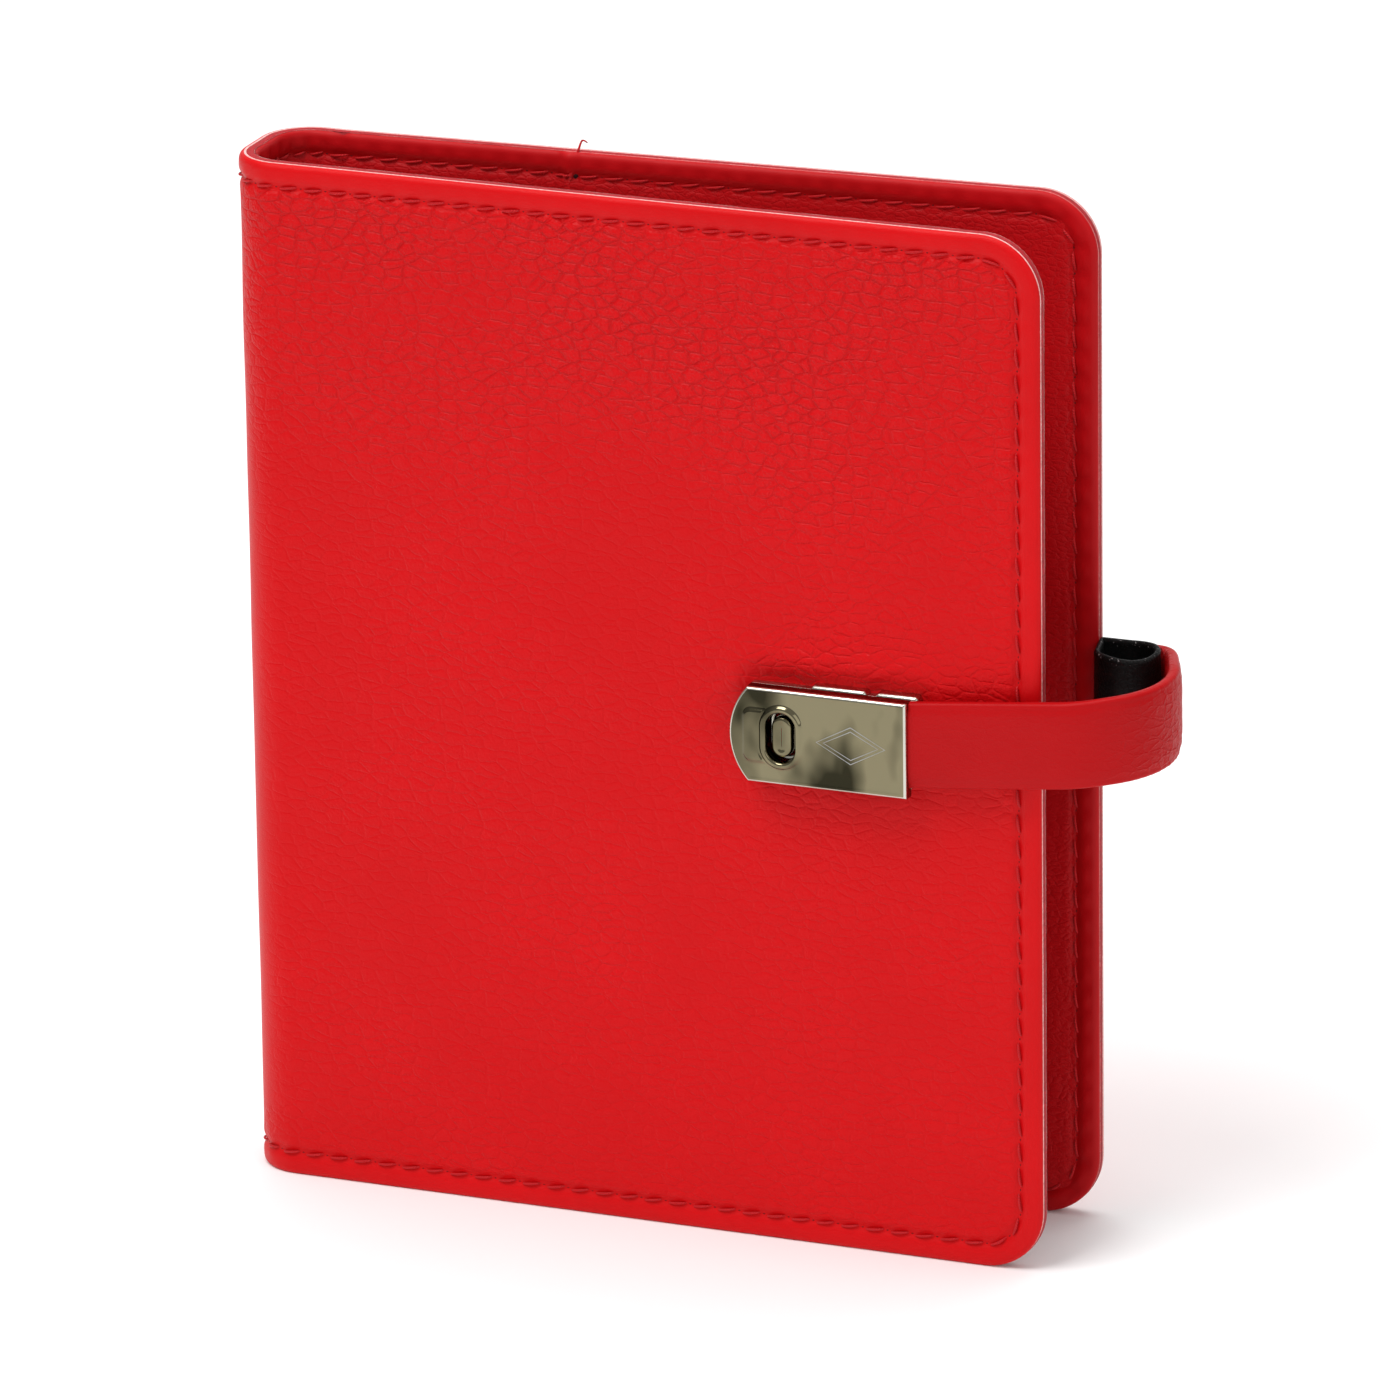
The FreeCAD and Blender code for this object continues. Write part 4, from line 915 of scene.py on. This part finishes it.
class NOTEBOOK_OT_pockets(bpy.types.Operator):
    """Card pocket of the front cover and full-height pocket of the back cover"""

    bl_idname = "notebook.pockets"
    bl_label = "Pockets"

    def execute(self, context):
        leather = context.scene.notebook_leather
        extra = SHEET - WIDTH
        m = leather.margin / MM
        edge = m + 0.2
        card = pocket_sheet("card_pocket_sheet", 24 + extra, SHEET - edge, edge, 92.0, COVER, False, "top")
        slip = pocket_sheet("slip_pocket_sheet", POCKET_S, SHEET - edge, edge, HEIGHT - edge, COVER, True,
                            "spine")
        card_rows = stitches("card_pocket_stitches", [
            LinePath((24 + extra + 1.8, m), (24 + extra + 1.8, 90.5), COVER + 0.45, False),
            LinePath((26 + extra, 90.1), (SHEET - 5, 90.1), COVER + 0.62, False)], leather, 51)
        for obj, body, node in ((card, "front_cover", "front_card_pocket"),
                                (slip, "back_cover", "back_pocket")):
            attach(obj, body)
            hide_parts(node)
        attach(card_rows, "front_cover")
        tail = thread_tail()
        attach(tail, "back_cover")
        return {"FINISHED"}


class NOTEBOOK_OT_strap(bpy.types.Operator):
    """Closing strap in three lengths that bend into each other"""

    bl_idname = "notebook.strap"
    bl_label = "Strap"

    def execute(self, context):
        line, length = strap_line()
        joints = {"shoulder": STRAP_ROOT}
        q = BEND + (BEND_R - STRAP_THICK / 2) * np.array([math.cos(SPLIT_HIGH), math.sin(SPLIT_HIGH)])
        joints["bend"] = float(length[np.argmin(np.linalg.norm(line[:, :2] - q, axis=1))])
        joints["front"] = joints["bend"] + (BEND_R - STRAP_THICK / 2) * (SPLIT_HIGH - SPLIT_LOW)
        cut_a = (joints["shoulder"] + joints["bend"]) / 2
        cut_b = (joints["bend"] + joints["front"]) / 2
        root = strap_part("strap_root_length", 0.0, cut_a)
        bend = strap_part("strap_bend_length", cut_a, cut_b)
        front = strap_part("strap_front_length", cut_b, float(length[-1]))
        strap_blend(root)
        strap_blend(bend)
        strap_blend(front)
        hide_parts("strap_root_leather", "strap_root_lining",
                    "strap_shoulder_leather", "strap_shoulder_lining")
        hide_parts("strap_bend_leather", "strap_bend_lining")
        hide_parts("strap_front_leather", "strap_front_lining")
        leather = context.scene.notebook_leather
        x0 = strap_root_end()[0] - STRAP_ROOT
        face = -STRAP_THICK - 0.02
        z0, z1 = ROOT_Z - 4.6, ROOT_Z + 4.6
        extra = SHEET - WIDTH
        left, right = x0 + extra + 1.8, x0 + extra + 32.0
        rows = stitches("strap_root_stitches", [
            LinePath((left, z0), (left, z1), face, True, False),
            LinePath((left, z1), (right, z1), face, True, False),
            LinePath((left, z0), (right, z0), face, True, False),
            LinePath((right, z0), (right, z1), face, True, False)], leather, 61)
        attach(rows, "back_cover")
        return {"FINISHED"}


# ------------------------------------------------------------------ the lock
BUTTON_X = WIDTH - 35.4
PLATE = {"x0": PLATE_X1 - 25.4, "x1": PLATE_X1, "z": LOCK_Z, "half": 6.7, "bulge": 2.6, "face": -4.3}


def oval(angle, half_width, half_length):
    """Points of an upright oval with straight sides, by angle from its centre."""
    c, s = np.cos(angle), np.sin(angle)
    straight = half_length - half_width
    side = half_width / np.maximum(np.abs(c), 1e-9)
    b = straight * np.abs(s)
    cap = b + np.sqrt(np.maximum(b * b - straight ** 2 + half_width ** 2, 0))
    r = np.where(side * np.abs(s) <= straight, side, cap)
    return r * c, r * s


def plate_edge(angle, inset):
    """Outline of the lock plate by angle from the button: three straight sides and a bowed end."""
    cx, cz = BUTTON_X, PLATE["z"]
    c, s = np.cos(angle), np.sin(angle)
    half = PLATE["half"] - inset
    right = (PLATE["x1"] - inset - cx) / np.maximum(c, 1e-9)
    top = half / np.maximum(np.abs(s), 1e-9)
    chord, bulge = 6.7, PLATE["bulge"]
    radius = (chord ** 2 + bulge ** 2) / (2 * bulge)
    centre = PLATE["x0"] + radius
    b = (cx - centre) * c
    k = (cx - centre) ** 2 - (radius - inset) ** 2
    bow = -b + np.sqrt(np.maximum(b * b - k, 0))
    r = np.minimum(np.minimum(np.where(c > 0, right, 1e9), top), np.where(c < 0, bow, 1e9))
    return cx + r * c, cz + r * s


def lock_angles():
    """Angles round the button, denser at the plate's corners."""
    corners = []
    bow = PLATE["x0"] + PLATE["bulge"]
    for x, z in ((PLATE["x1"], 6.7), (PLATE["x1"], -6.7), (bow, 6.7), (bow, -6.7)):
        corners.append(math.atan2(z, x - BUTTON_X))
    even = np.linspace(-math.pi, math.pi, 260, endpoint=False)
    close = np.concatenate([np.array(corners)[:, None] + np.linspace(-0.03, 0.03, 13)[None]]).ravel()
    return np.unique(np.round(np.concatenate([even, close]), 6))


class NOTEBOOK_OT_lock(bpy.types.Operator):
    """Pressed nickel lock plate with its collar, ramp and etched border, and the domed button"""

    bl_idname = "notebook.lock"
    bl_label = "Lock"

    def execute(self, context):
        angle = lock_angles()
        rows, heights = [], []
        for inset, drop in ((0.0, 2.0), (0.0, 0.5), (0.02, 0.36), (0.09, 0.2), (0.2, 0.08), (0.36, 0.015),
                            (0.5, 0.0), (0.62, 0.0), (0.74, 0.03), (0.95, 0.04)):
            rows.append(np.stack(plate_edge(angle, inset), -1))
            heights.append(np.full(len(angle), PLATE["face"] + drop))
        outer = np.stack(plate_edge(angle, 0.95), -1)
        hx, hz = oval(angle, 2.1 + 1.25, 3.5 + 1.25)
        ring = np.stack([BUTTON_X + hx, PLATE["z"] + hz], -1)
        for t in np.linspace(0, 1, 60)[1:] ** 0.8:
            at = outer + (ring - outer) * t
            rows.append(at)
            dx, dz = at[:, 0] - BUTTON_X, at[:, 1] - PLATE["z"]
            lobe = np.hypot(np.clip(np.abs(dx + 2.7) - 1.5, 0, None),
                            np.clip(np.abs(dz) - 2.5, 0, None)) - 1.25
            heights.append(PLATE["face"] + 0.04 - 0.32 * (1 - smoothstep(lobe, -0.45, 0.25)))
        for grow, rise in ((1.05, 0.0), (0.9, -0.12), (0.75, -0.30), (0.6, -0.38), (0.42, -0.40),
                           (0.26, -0.38), (0.1, -0.28), (0.0, -0.08), (0.0, 0.5), (0.0, 2.0)):
            hx, hz = oval(angle, 2.1 + grow, 3.5 + grow)
            rows.append(np.stack([BUTTON_X + hx, PLATE["z"] + hz], -1))
            heights.append(np.full(len(angle), PLATE["face"] + 0.04 + rise))
        at, y = np.array(rows), np.array(heights)
        net = np.stack([at[..., 0], y, at[..., 1]], -1)
        # The plate's face takes the nickel with painted reflections; its rounded rim keeps the bright nickel.
        skin = np.repeat(np.arange(len(net) - 1), len(angle))
        skin = ((skin >= 1) & (skin < 5)).astype(int)
        plate = piece("lock_plate_shell", net, grid(*net.shape[:2], wrap=True), ["plate", "nickel"],
                      face_skin=skin)
        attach(plate, "strap_front")

        rows, heights = [], []
        for grow, rise in ((0.0, 2.4), (0.0, 0.45), (-0.05, 0.25), (-0.15, 0.12), (-0.35, 0.04), (-0.6, 0.0),
                           (-0.8, 0.05), (-1.0, 0.12), (-1.2, 0.14), (-1.42, 0.14)):
            hx, hz = oval(angle, 1.45 + grow, 2.85 + grow)
            rows.append(np.stack([BUTTON_X + hx, PLATE["z"] + hz], -1))
            heights.append(np.full(len(angle), -4.1 + rise))
        at, y = np.array(rows), np.array(heights)
        net = np.stack([at[..., 0], y, at[..., 1]], -1)
        # The button takes the nickel with painted reflections too.
        button = piece("button_cap", net, grid(*net.shape[:2], wrap=True), ["plate"])
        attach(button, "lock_button")

        self.base()
        mark = lozenge_border()
        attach(mark, "strap_front")
        self.spring()
        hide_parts("lock_plate")
        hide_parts("lock_button")
        return {"FINISHED"}

    @staticmethod
    def base():
        """Lock base: two rounded lugs, P = c + (half - r) sign(n) + r n for every direction n,
        and a stepped plate with an oval well for the button, all on rays from the button's centre.
        """
        low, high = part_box("lock_base")
        x0, x1 = low[0] / MM - ORIGIN[0], high[0] / MM - ORIGIN[0]
        z0, z1 = low[2] / MM, high[2] / MM
        polar = np.linspace(0, math.pi, 16)[:, None]
        turn = np.linspace(0, 2 * math.pi, 32, endpoint=False)[None] + 0.01
        n = np.stack([np.sin(polar) * np.cos(turn), np.sin(polar) * np.sin(turn),
                      np.cos(polar) + 0 * turn], -1)
        notch = WIDTH - 24.1
        parts = []
        for box, r in (((WIDTH - 32.1, notch, -1.75, 0.9, z1 - 3.0, z1), 0.55),
                       ((notch + 1.3, x1, -1.75, 0.9, z1 - 3.0, z1), 0.55)):
            box = np.array(box).reshape(3, 2)
            half = (box[:, 1] - box[:, 0]) / 2 - r
            net = box.mean(axis=1) + half * np.sign(np.round(n, 9)) + r * n
            parts.append(bare(net))
        angle = lock_angles()
        c, d = np.cos(angle), np.sin(angle)

        def row(edges, inset, y):
            left, right, bottom, top = edges
            across = np.where(c > 0, right - BUTTON_X, BUTTON_X - left) - inset
            up = np.where(d > 0, top - LOCK_Z, LOCK_Z - bottom) - inset
            r = np.minimum(across / np.maximum(np.abs(c), 1e-9), up / np.maximum(np.abs(d), 1e-9))
            return np.stack([BUTTON_X + r * c, y + 0 * r, LOCK_Z + r * d], -1)

        plate = (x0, x1 - 1.2, z0, z1 - 0.65)
        step = (max(BUTTON_X - 5.2, x0 + 0.1), BUTTON_X + 5.5, z0 + 0.6, z1 - 1.25)
        well = [np.stack([BUTTON_X + x, y + 0 * x, LOCK_Z + z], -1)
                for x, z, y in ((*oval(angle, 1.95, 3.35), -1.8), (*oval(angle, 1.85, 3.25), -1.7),
                                (*oval(angle, 1.85, 3.25), 0.9))]
        net = np.array([row(plate, 0.0, 0.9), row(plate, 0.0, -0.95), row(plate, 0.1, -1.12),
                        row(plate, 0.3, -1.2), row(step, 0.0, -1.2), row(step, 0.02, -1.65),
                        row(step, 0.15, -1.8), *well, row(plate, 0.0, 0.9)])
        parts.append(bare(net))
        points, faces, flat, plain, skin = join(parts)
        base = piece("lock_base_shell", points, faces, ["nickel"], flat, plain, skin)
        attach(base, "front_cover")
        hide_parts("lock_base")

    @staticmethod
    def spring():
        """Arched leaf under the button: y = top + h u^2 for u from -1 to 1 along its span."""
        low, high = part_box("button_spring")
        u = np.linspace(-1, 1, 33)[:, None]
        a = np.linspace(0, 2 * math.pi, 16, endpoint=False)[None]
        top, foot = low[1] / MM - ORIGIN[1] + 0.1, high[1] / MM - ORIGIN[1] - 0.1
        half = (high[2] - low[2]) / MM / 2 - 0.1
        net = np.stack([BUTTON_X + 0.8 * np.sign(np.cos(a)) * np.abs(np.cos(a)) ** 0.3 + 0 * u,
                        top + (foot - top) * u ** 2 + 0.1 * np.sign(np.sin(a)) * np.abs(np.sin(a)) ** 0.5,
                        LOCK_Z + half * u + 0 * a], -1)
        leaf = piece("button_leaf_spring", net, grid(*net.shape[:2], wrap=True), ["steel"])
        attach(leaf, "front_cover")
        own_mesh(leaf)
        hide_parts("button_spring")


def lozenge_border():
    """Plain etched border on the plate: two nested lozenges drawn with 0.2 mm lines."""
    parts = []
    for half_x, half_z in ((4.9, 2.6), (3.9, 2.0)):
        a = np.linspace(0, 2 * math.pi, 120, endpoint=False)
        c, s = np.cos(a), np.sin(a)
        shape = np.stack([np.sign(c) * c * c, np.sign(s) * s * s], -1)
        net = []
        for grow, rise in ((-0.10, 0.02), (-0.05, -0.012), (0.05, -0.012), (0.10, 0.02)):
            at = shape * [half_x + grow, half_z + grow]
            net.append(np.stack([PLATE_X1 - 7.9 + at[:, 0], np.full(len(a), PLATE["face"] + 0.04 + rise),
                                 PLATE["z"] + at[:, 1]], -1))
        parts.append(bare(np.array(net), flip=True))
    points, faces, flat, plain, skin = join(parts)
    return piece("plate_border", points, faces, ["steel"], flat, plain, skin)


# ------------------------------------------------------------------ pen loop
class NOTEBOOK_OT_pen_loop(bpy.types.Operator):
    """Black loop for a pen on the back cover's open edge"""

    bl_idname = "notebook.pen_loop"
    bl_label = "Pen loop"

    def execute(self, context):
        centre = np.array([SHEET + 9.4 - 4.5, 5.2])
        tail = np.array([SHEET + 0.2, 1.5])
        r = 4.1
        reach = centre - tail
        distance = np.hypot(*reach)
        heading = math.atan2(reach[1], reach[0])
        spread = math.asin(r / distance)
        a = np.linspace(-(math.pi / 2 + spread), math.pi / 2 + spread, 60) + heading
        arc = centre + r * np.stack([np.cos(a), np.sin(a)], -1)
        t = np.linspace(0, 1, 14)[:-1, None]
        start, end = tail + [0, -0.25], tail + [0, 0.25]
        line = np.vstack([start + (arc[0] - start) * t, arc, end + (arc[-1] - end) * t[::-1]])
        line = np.vstack([[tail[0] - 5, tail[1] - 0.25], line, [tail[0] - 5, tail[1] + 0.25]])
        along = np.gradient(line, axis=0)
        along /= np.linalg.norm(along, axis=1)[:, None]
        normal = np.stack([along[:, 1], -along[:, 0]], -1)
        run = np.concatenate([[0], np.cumsum(np.linalg.norm(np.diff(line, axis=0), axis=1))])
        b = np.linspace(0, 2 * math.pi, 44, endpoint=False)
        z = np.sign(np.cos(b)) * np.abs(np.cos(b)) ** 0.35 * 7.0
        out = np.sign(np.sin(b)) * np.abs(np.sin(b)) ** 0.6 * 0.4
        bead = 0.12 * np.exp(-((np.abs(z) - 6.5) / 0.35) ** 2) * np.sign(out)
        sag = 0.25 * np.sin(run * 0.55) * np.exp(-((run - run[-1] / 2) / 9) ** 2)
        at = line[:, None] + normal[:, None] * (out + bead)[None, :, None]
        height = 76.0 + z[None] + sag[:, None] * (z[None] / 7.0)
        net = fold(at[..., 0], height, at[..., 1], True)
        flat = np.stack([run[:, None] + 0 * z, height, out[None] + 0 * run[:, None]], -1) * MM
        edge = smoothstep(np.abs(z) / 7.0, 0.8, 0.97)[None] + 0 * run[:, None]
        loop = piece("pen_loop_band", net, grid(*net.shape[:2], wrap=True), ["black"], flat, edge)
        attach(loop, "back_cover")
        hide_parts("pen_loop")
        return {"FINISHED"}


# ------------------------------------------------------------------ pages
def leaf_net():
    """One punched sheet, flat: a strip of square cells round the holes, and plain cells beside it.

    Each hole's cell blends a square outline into a circle: P = (1 - t) square(a) + t circle(a).
    """
    heights = [72.5 + side * (16 + 19 * k) for side in (-1, 1) for k in (0, 1, 2)]
    x0, x1, z0, z1 = 9.8, 90.8, 12.5, 132.5
    cell = 4.0
    hx = x0 + 4.4
    a = np.linspace(0, 2 * math.pi, 33)
    c, s = np.cos(a), np.sin(a)
    reach = 1 / np.maximum(np.abs(c), np.abs(s))
    square = np.stack([c * reach, s * reach], -1) * cell
    circle = np.stack([c, s], -1) * 2.75
    parts = []

    def put(net, flip=False):
        rows, columns = net.shape[:2]
        parts.append((net.reshape(-1, 2), grid(rows, columns, flip=flip)))
    for h in heights:
        t = np.linspace(0, 1, 4)[:, None, None]
        put(np.array([hx, h]) + square * (1 - t) + circle * t)
    zs = sorted(heights)
    cuts = [z0] + [v for h in zs for v in (h - cell, h + cell)] + [z1]
    for low_z, high_z in zip(cuts[::2], cuts[1::2]):
        put(np.stack(np.meshgrid([hx - cell, hx + cell], [low_z, high_z], indexing="ij"), -1))
    put(np.stack(np.meshgrid([x0, hx - cell], [z0, z1], indexing="ij"), -1))
    xs = np.concatenate([[hx + cell], np.linspace(25, x1 - 3, 8), [x1]])
    body = np.stack(np.meshgrid(xs[:-1], [z0, z1], indexing="ij"), -1)
    put(body)
    corner = np.radians(np.linspace(90, 0, 9))
    rim_top = np.stack([x1 - 3 + 3 * np.cos(corner), z1 - 3 + 3 * np.sin(corner)], -1)
    rim_low = rim_top * [1, -1] + [0, z0 + z1]
    put(np.stack([rim_low, rim_top], 1))
    return parts


class NOTEBOOK_OT_pages(bpy.types.Operator):
    """Two stacks of punched sheets"""

    bl_idname = "notebook.pages"
    bl_label = "Pages"

    def execute(self, context):
        parts = leaf_net()
        starts = np.cumsum([0] + [len(p[0]) for p in parts[:-1]])
        flat_points = np.vstack([p[0] for p in parts])
        faces = np.vstack([p[1] + start for p, start in zip(parts, starts)])
        for name, y0, seed in (("front_pages", DEPTH / 2 - 2.95, 71), ("back_pages", DEPTH / 2 + 0.15, 72)):
            rng = np.random.default_rng(seed)
            count = 14
            stack = []
            for k in range(count):
                offset = rng.uniform(-0.12, 0.12, 2)
                y = y0 + 0.03 + (2.8 - 0.2) * k / (count - 1)
                way = 1 if seed == 71 else -1
                curl = 0.10 * smoothstep(flat_points[:, 0], 40, 90) * way * rng.uniform(-0.3, 0.3)
                for level, flip in ((0.0, False), (0.13, True)):
                    points = np.stack([flat_points[:, 0] + offset[0] * 0.5, y + level + curl,
                                       flat_points[:, 1] + offset[1] * 0.5], -1)
                    stack.append((points, faces[:, ::-1] if flip else faces, np.stack(
                        [flat_points[:, 0], flat_points[:, 1], 0 * flat_points[:, 0]], -1) * MM,
                        np.ones(len(points)), np.zeros(len(faces), int)))
            stack.append(self.walls(y0))
            points, all_faces, flat, plain, skin = join(stack)
            obj = piece(name + "_leaves", points, all_faces, ["paper"], flat, plain, skin)
            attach(obj, name)
            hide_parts(name)
        return {"FINISHED"}

    @staticmethod
    def walls(y0):
        """Cut edges of the stack's sheets: one fluted wall round the outline."""
        corner = np.radians(np.linspace(0, 90, 9))
        top = np.stack([87.8 + 3 * np.cos(corner), 129.5 + 3 * np.sin(corner)], -1)
        low_edge = (top * [1, -1] + [0, 145.0])[::-1]
        loop = np.vstack([low_edge, top, [[9.8, 132.5]], [[9.8, 12.5]]])
        levels = np.linspace(0, 2.8, 57)
        flute = 0.07 * (1 - np.abs(np.sin(math.pi * levels / 0.2)))
        middle = np.array([50.0, 72.5])
        away = loop - middle
        away /= np.linalg.norm(away, axis=1)[:, None]
        at = loop[None] - away[None] * (0.06 + flute)[:, None, None]
        net = np.stack([at[..., 0], (y0 + levels)[:, None] + 0 * at[..., 0], at[..., 1]], -1)
        return bare(net, flip=True, plain=0.0)


# ------------------------------------------------------------------ carried-over solids
class NOTEBOOK_OT_metalwork(bpy.types.Operator):
    """Materials of the parts that keep their solid shape: ring mechanism, lock fittings and boards"""

    bl_idname = "notebook.metalwork"
    bl_label = "Metalwork"

    def execute(self, context):
        finish_of = {"nickel": "nickel", "steel": "steel", "board": "board", "black_elastic": "black",
                     "paper": "paper", "red_leather": "leather", "red_lining": "lining", "red_welt": "welt"}
        slots = {entry["node"]: entry["material_slot"] for entry in frame["record"]["subparts"]}
        for node, obj in frame["nodes"].items():
            skin = material(finish_of[slots[node]])
            if not obj.material_slots:
                obj.data.materials.append(skin)
            for slot in obj.material_slots:
                slot.material = skin
        return {"FINISHED"}


# ------------------------------------------------------------------ stage
class NOTEBOOK_OT_stage(bpy.types.Operator):
    """White card, soft lights and the camera"""

    bl_idname = "notebook.stage"
    bl_label = "Stage"

    def execute(self, context):
        stage = context.scene.notebook_stage
        self.backdrop()
        phi, psi = stage.elevation, stage.azimuth
        look = Vector((-math.sin(psi) * math.cos(phi), math.cos(psi) * math.cos(phi), -math.sin(phi)))
        right = look.cross(Vector((0, 0, 1))).normalized()
        up = right.cross(look)
        c, s = math.cos(stage.roll), math.sin(stage.roll)
        right, up = right * c + up * s, up * c - right * s
        target = Vector(((np.array([68.3, 0.0, 76.1]) + ORIGIN) * MM).tolist())
        place = target - look * stage.distance
        data = bpy.data.cameras.new("camera")
        data.lens = stage.lens
        data.sensor_width = 36.0
        data.clip_end = 20.0
        camera = bpy.data.objects.new("camera", data)
        camera.matrix_world = Matrix(((right.x, up.x, -look.x, place.x), (right.y, up.y, -look.y, place.y),
                                      (right.z, up.z, -look.z, place.z), (0, 0, 0, 1)))
        context.scene.collection.objects.link(camera)
        context.scene.camera = camera
        self.light("key", (-0.35, -0.65, 1.35), (0.0, 0.0, 0.07), 0.7, 13.0)
        self.light("fill", (1.0, -0.7, 0.55), (0.0, 0.0, 0.07), 0.8, 2.0)
        self.light("top", (0.0, 0.25, 1.3), (0.0, 0.0, 0.07), 0.9, 8.5)
        world = bpy.data.worlds.new("white_room")
        world.use_nodes = True
        world.node_tree.nodes["Background"].inputs["Color"].default_value = colour("#FFFFFF")
        world.node_tree.nodes["Background"].inputs["Strength"].default_value = 0.46
        context.scene.world = world
        context.scene.view_settings.view_transform = "Standard"
        return {"FINISHED"}

    @staticmethod
    def backdrop():
        """Floor that curves up into a wall: quarter circle of radius 0.6 m."""
        a = np.linspace(0, math.pi / 2, 24)
        y = np.concatenate([[-3.0], 1.4 + 0.6 * np.sin(a), [2.0]])
        z = np.concatenate([[0.0], 0.6 - 0.6 * np.cos(a), [3.0]])
        x = np.array([-3.0, 3.0])
        net = np.stack([x[None] + 0 * y[:, None], y[:, None] + 0 * x, z[:, None] + 0 * x], -1)
        mesh = bpy.data.meshes.new("backdrop")
        mesh.from_pydata(net.reshape(-1, 3).tolist(), [], grid(len(y), 2).tolist())
        mesh.polygons.foreach_set("use_smooth", np.ones(len(mesh.polygons), bool))
        mesh.materials.append(backdrop_material())
        card = bpy.data.objects.new("backdrop", mesh)
        bpy.context.scene.collection.objects.link(card)

    @staticmethod
    def light(name, place, target, size, power):
        data = bpy.data.lights.new(name, "AREA")
        data.shape = "SQUARE"
        data.size = size
        data.energy = power
        lamp = bpy.data.objects.new(name, data)
        lamp.location = place
        heading = Vector(target) - Vector(place)
        lamp.rotation_euler = heading.to_track_quat("-Z", "Y").to_euler()
        bpy.context.scene.collection.objects.link(lamp)


class NOTEBOOK_PT_panel(bpy.types.Panel):
    """Sizes and build steps of the notebook"""

    bl_label = "Notebook"
    bl_idname = "NOTEBOOK_PT_panel"
    bl_space_type = "VIEW_3D"
    bl_region_type = "UI"
    bl_category = "Notebook"

    def draw(self, context):
        layout = self.layout
        for group in (context.scene.notebook_leather, context.scene.notebook_stage):
            for key in group.bl_rna.properties.keys():
                if key not in ("rna_type", "name"):
                    layout.prop(group, key)
        for operator in OPERATORS:
            layout.operator(operator.bl_idname)


OPERATORS = (NOTEBOOK_OT_covers, NOTEBOOK_OT_pockets, NOTEBOOK_OT_strap, NOTEBOOK_OT_lock,
             NOTEBOOK_OT_pen_loop, NOTEBOOK_OT_pages, NOTEBOOK_OT_metalwork, NOTEBOOK_OT_stage)
CLASSES = (NotebookLeather, NotebookStage, *OPERATORS, NOTEBOOK_PT_panel)


def register():
    for cls in CLASSES:
        bpy.utils.register_class(cls)
    bpy.types.Scene.notebook_leather = bpy.props.PointerProperty(type=NotebookLeather)
    bpy.types.Scene.notebook_stage = bpy.props.PointerProperty(type=NotebookStage)


def unregister():
    del bpy.types.Scene.notebook_stage
    del bpy.types.Scene.notebook_leather
    for cls in reversed(CLASSES):
        bpy.utils.unregister_class(cls)


def main():
    register()
    for step in ("covers", "pockets", "strap", "lock", "pen_loop", "pages", "metalwork", "stage"):
        getattr(bpy.ops.notebook, step)()


if __name__ == "__main__":
    main()
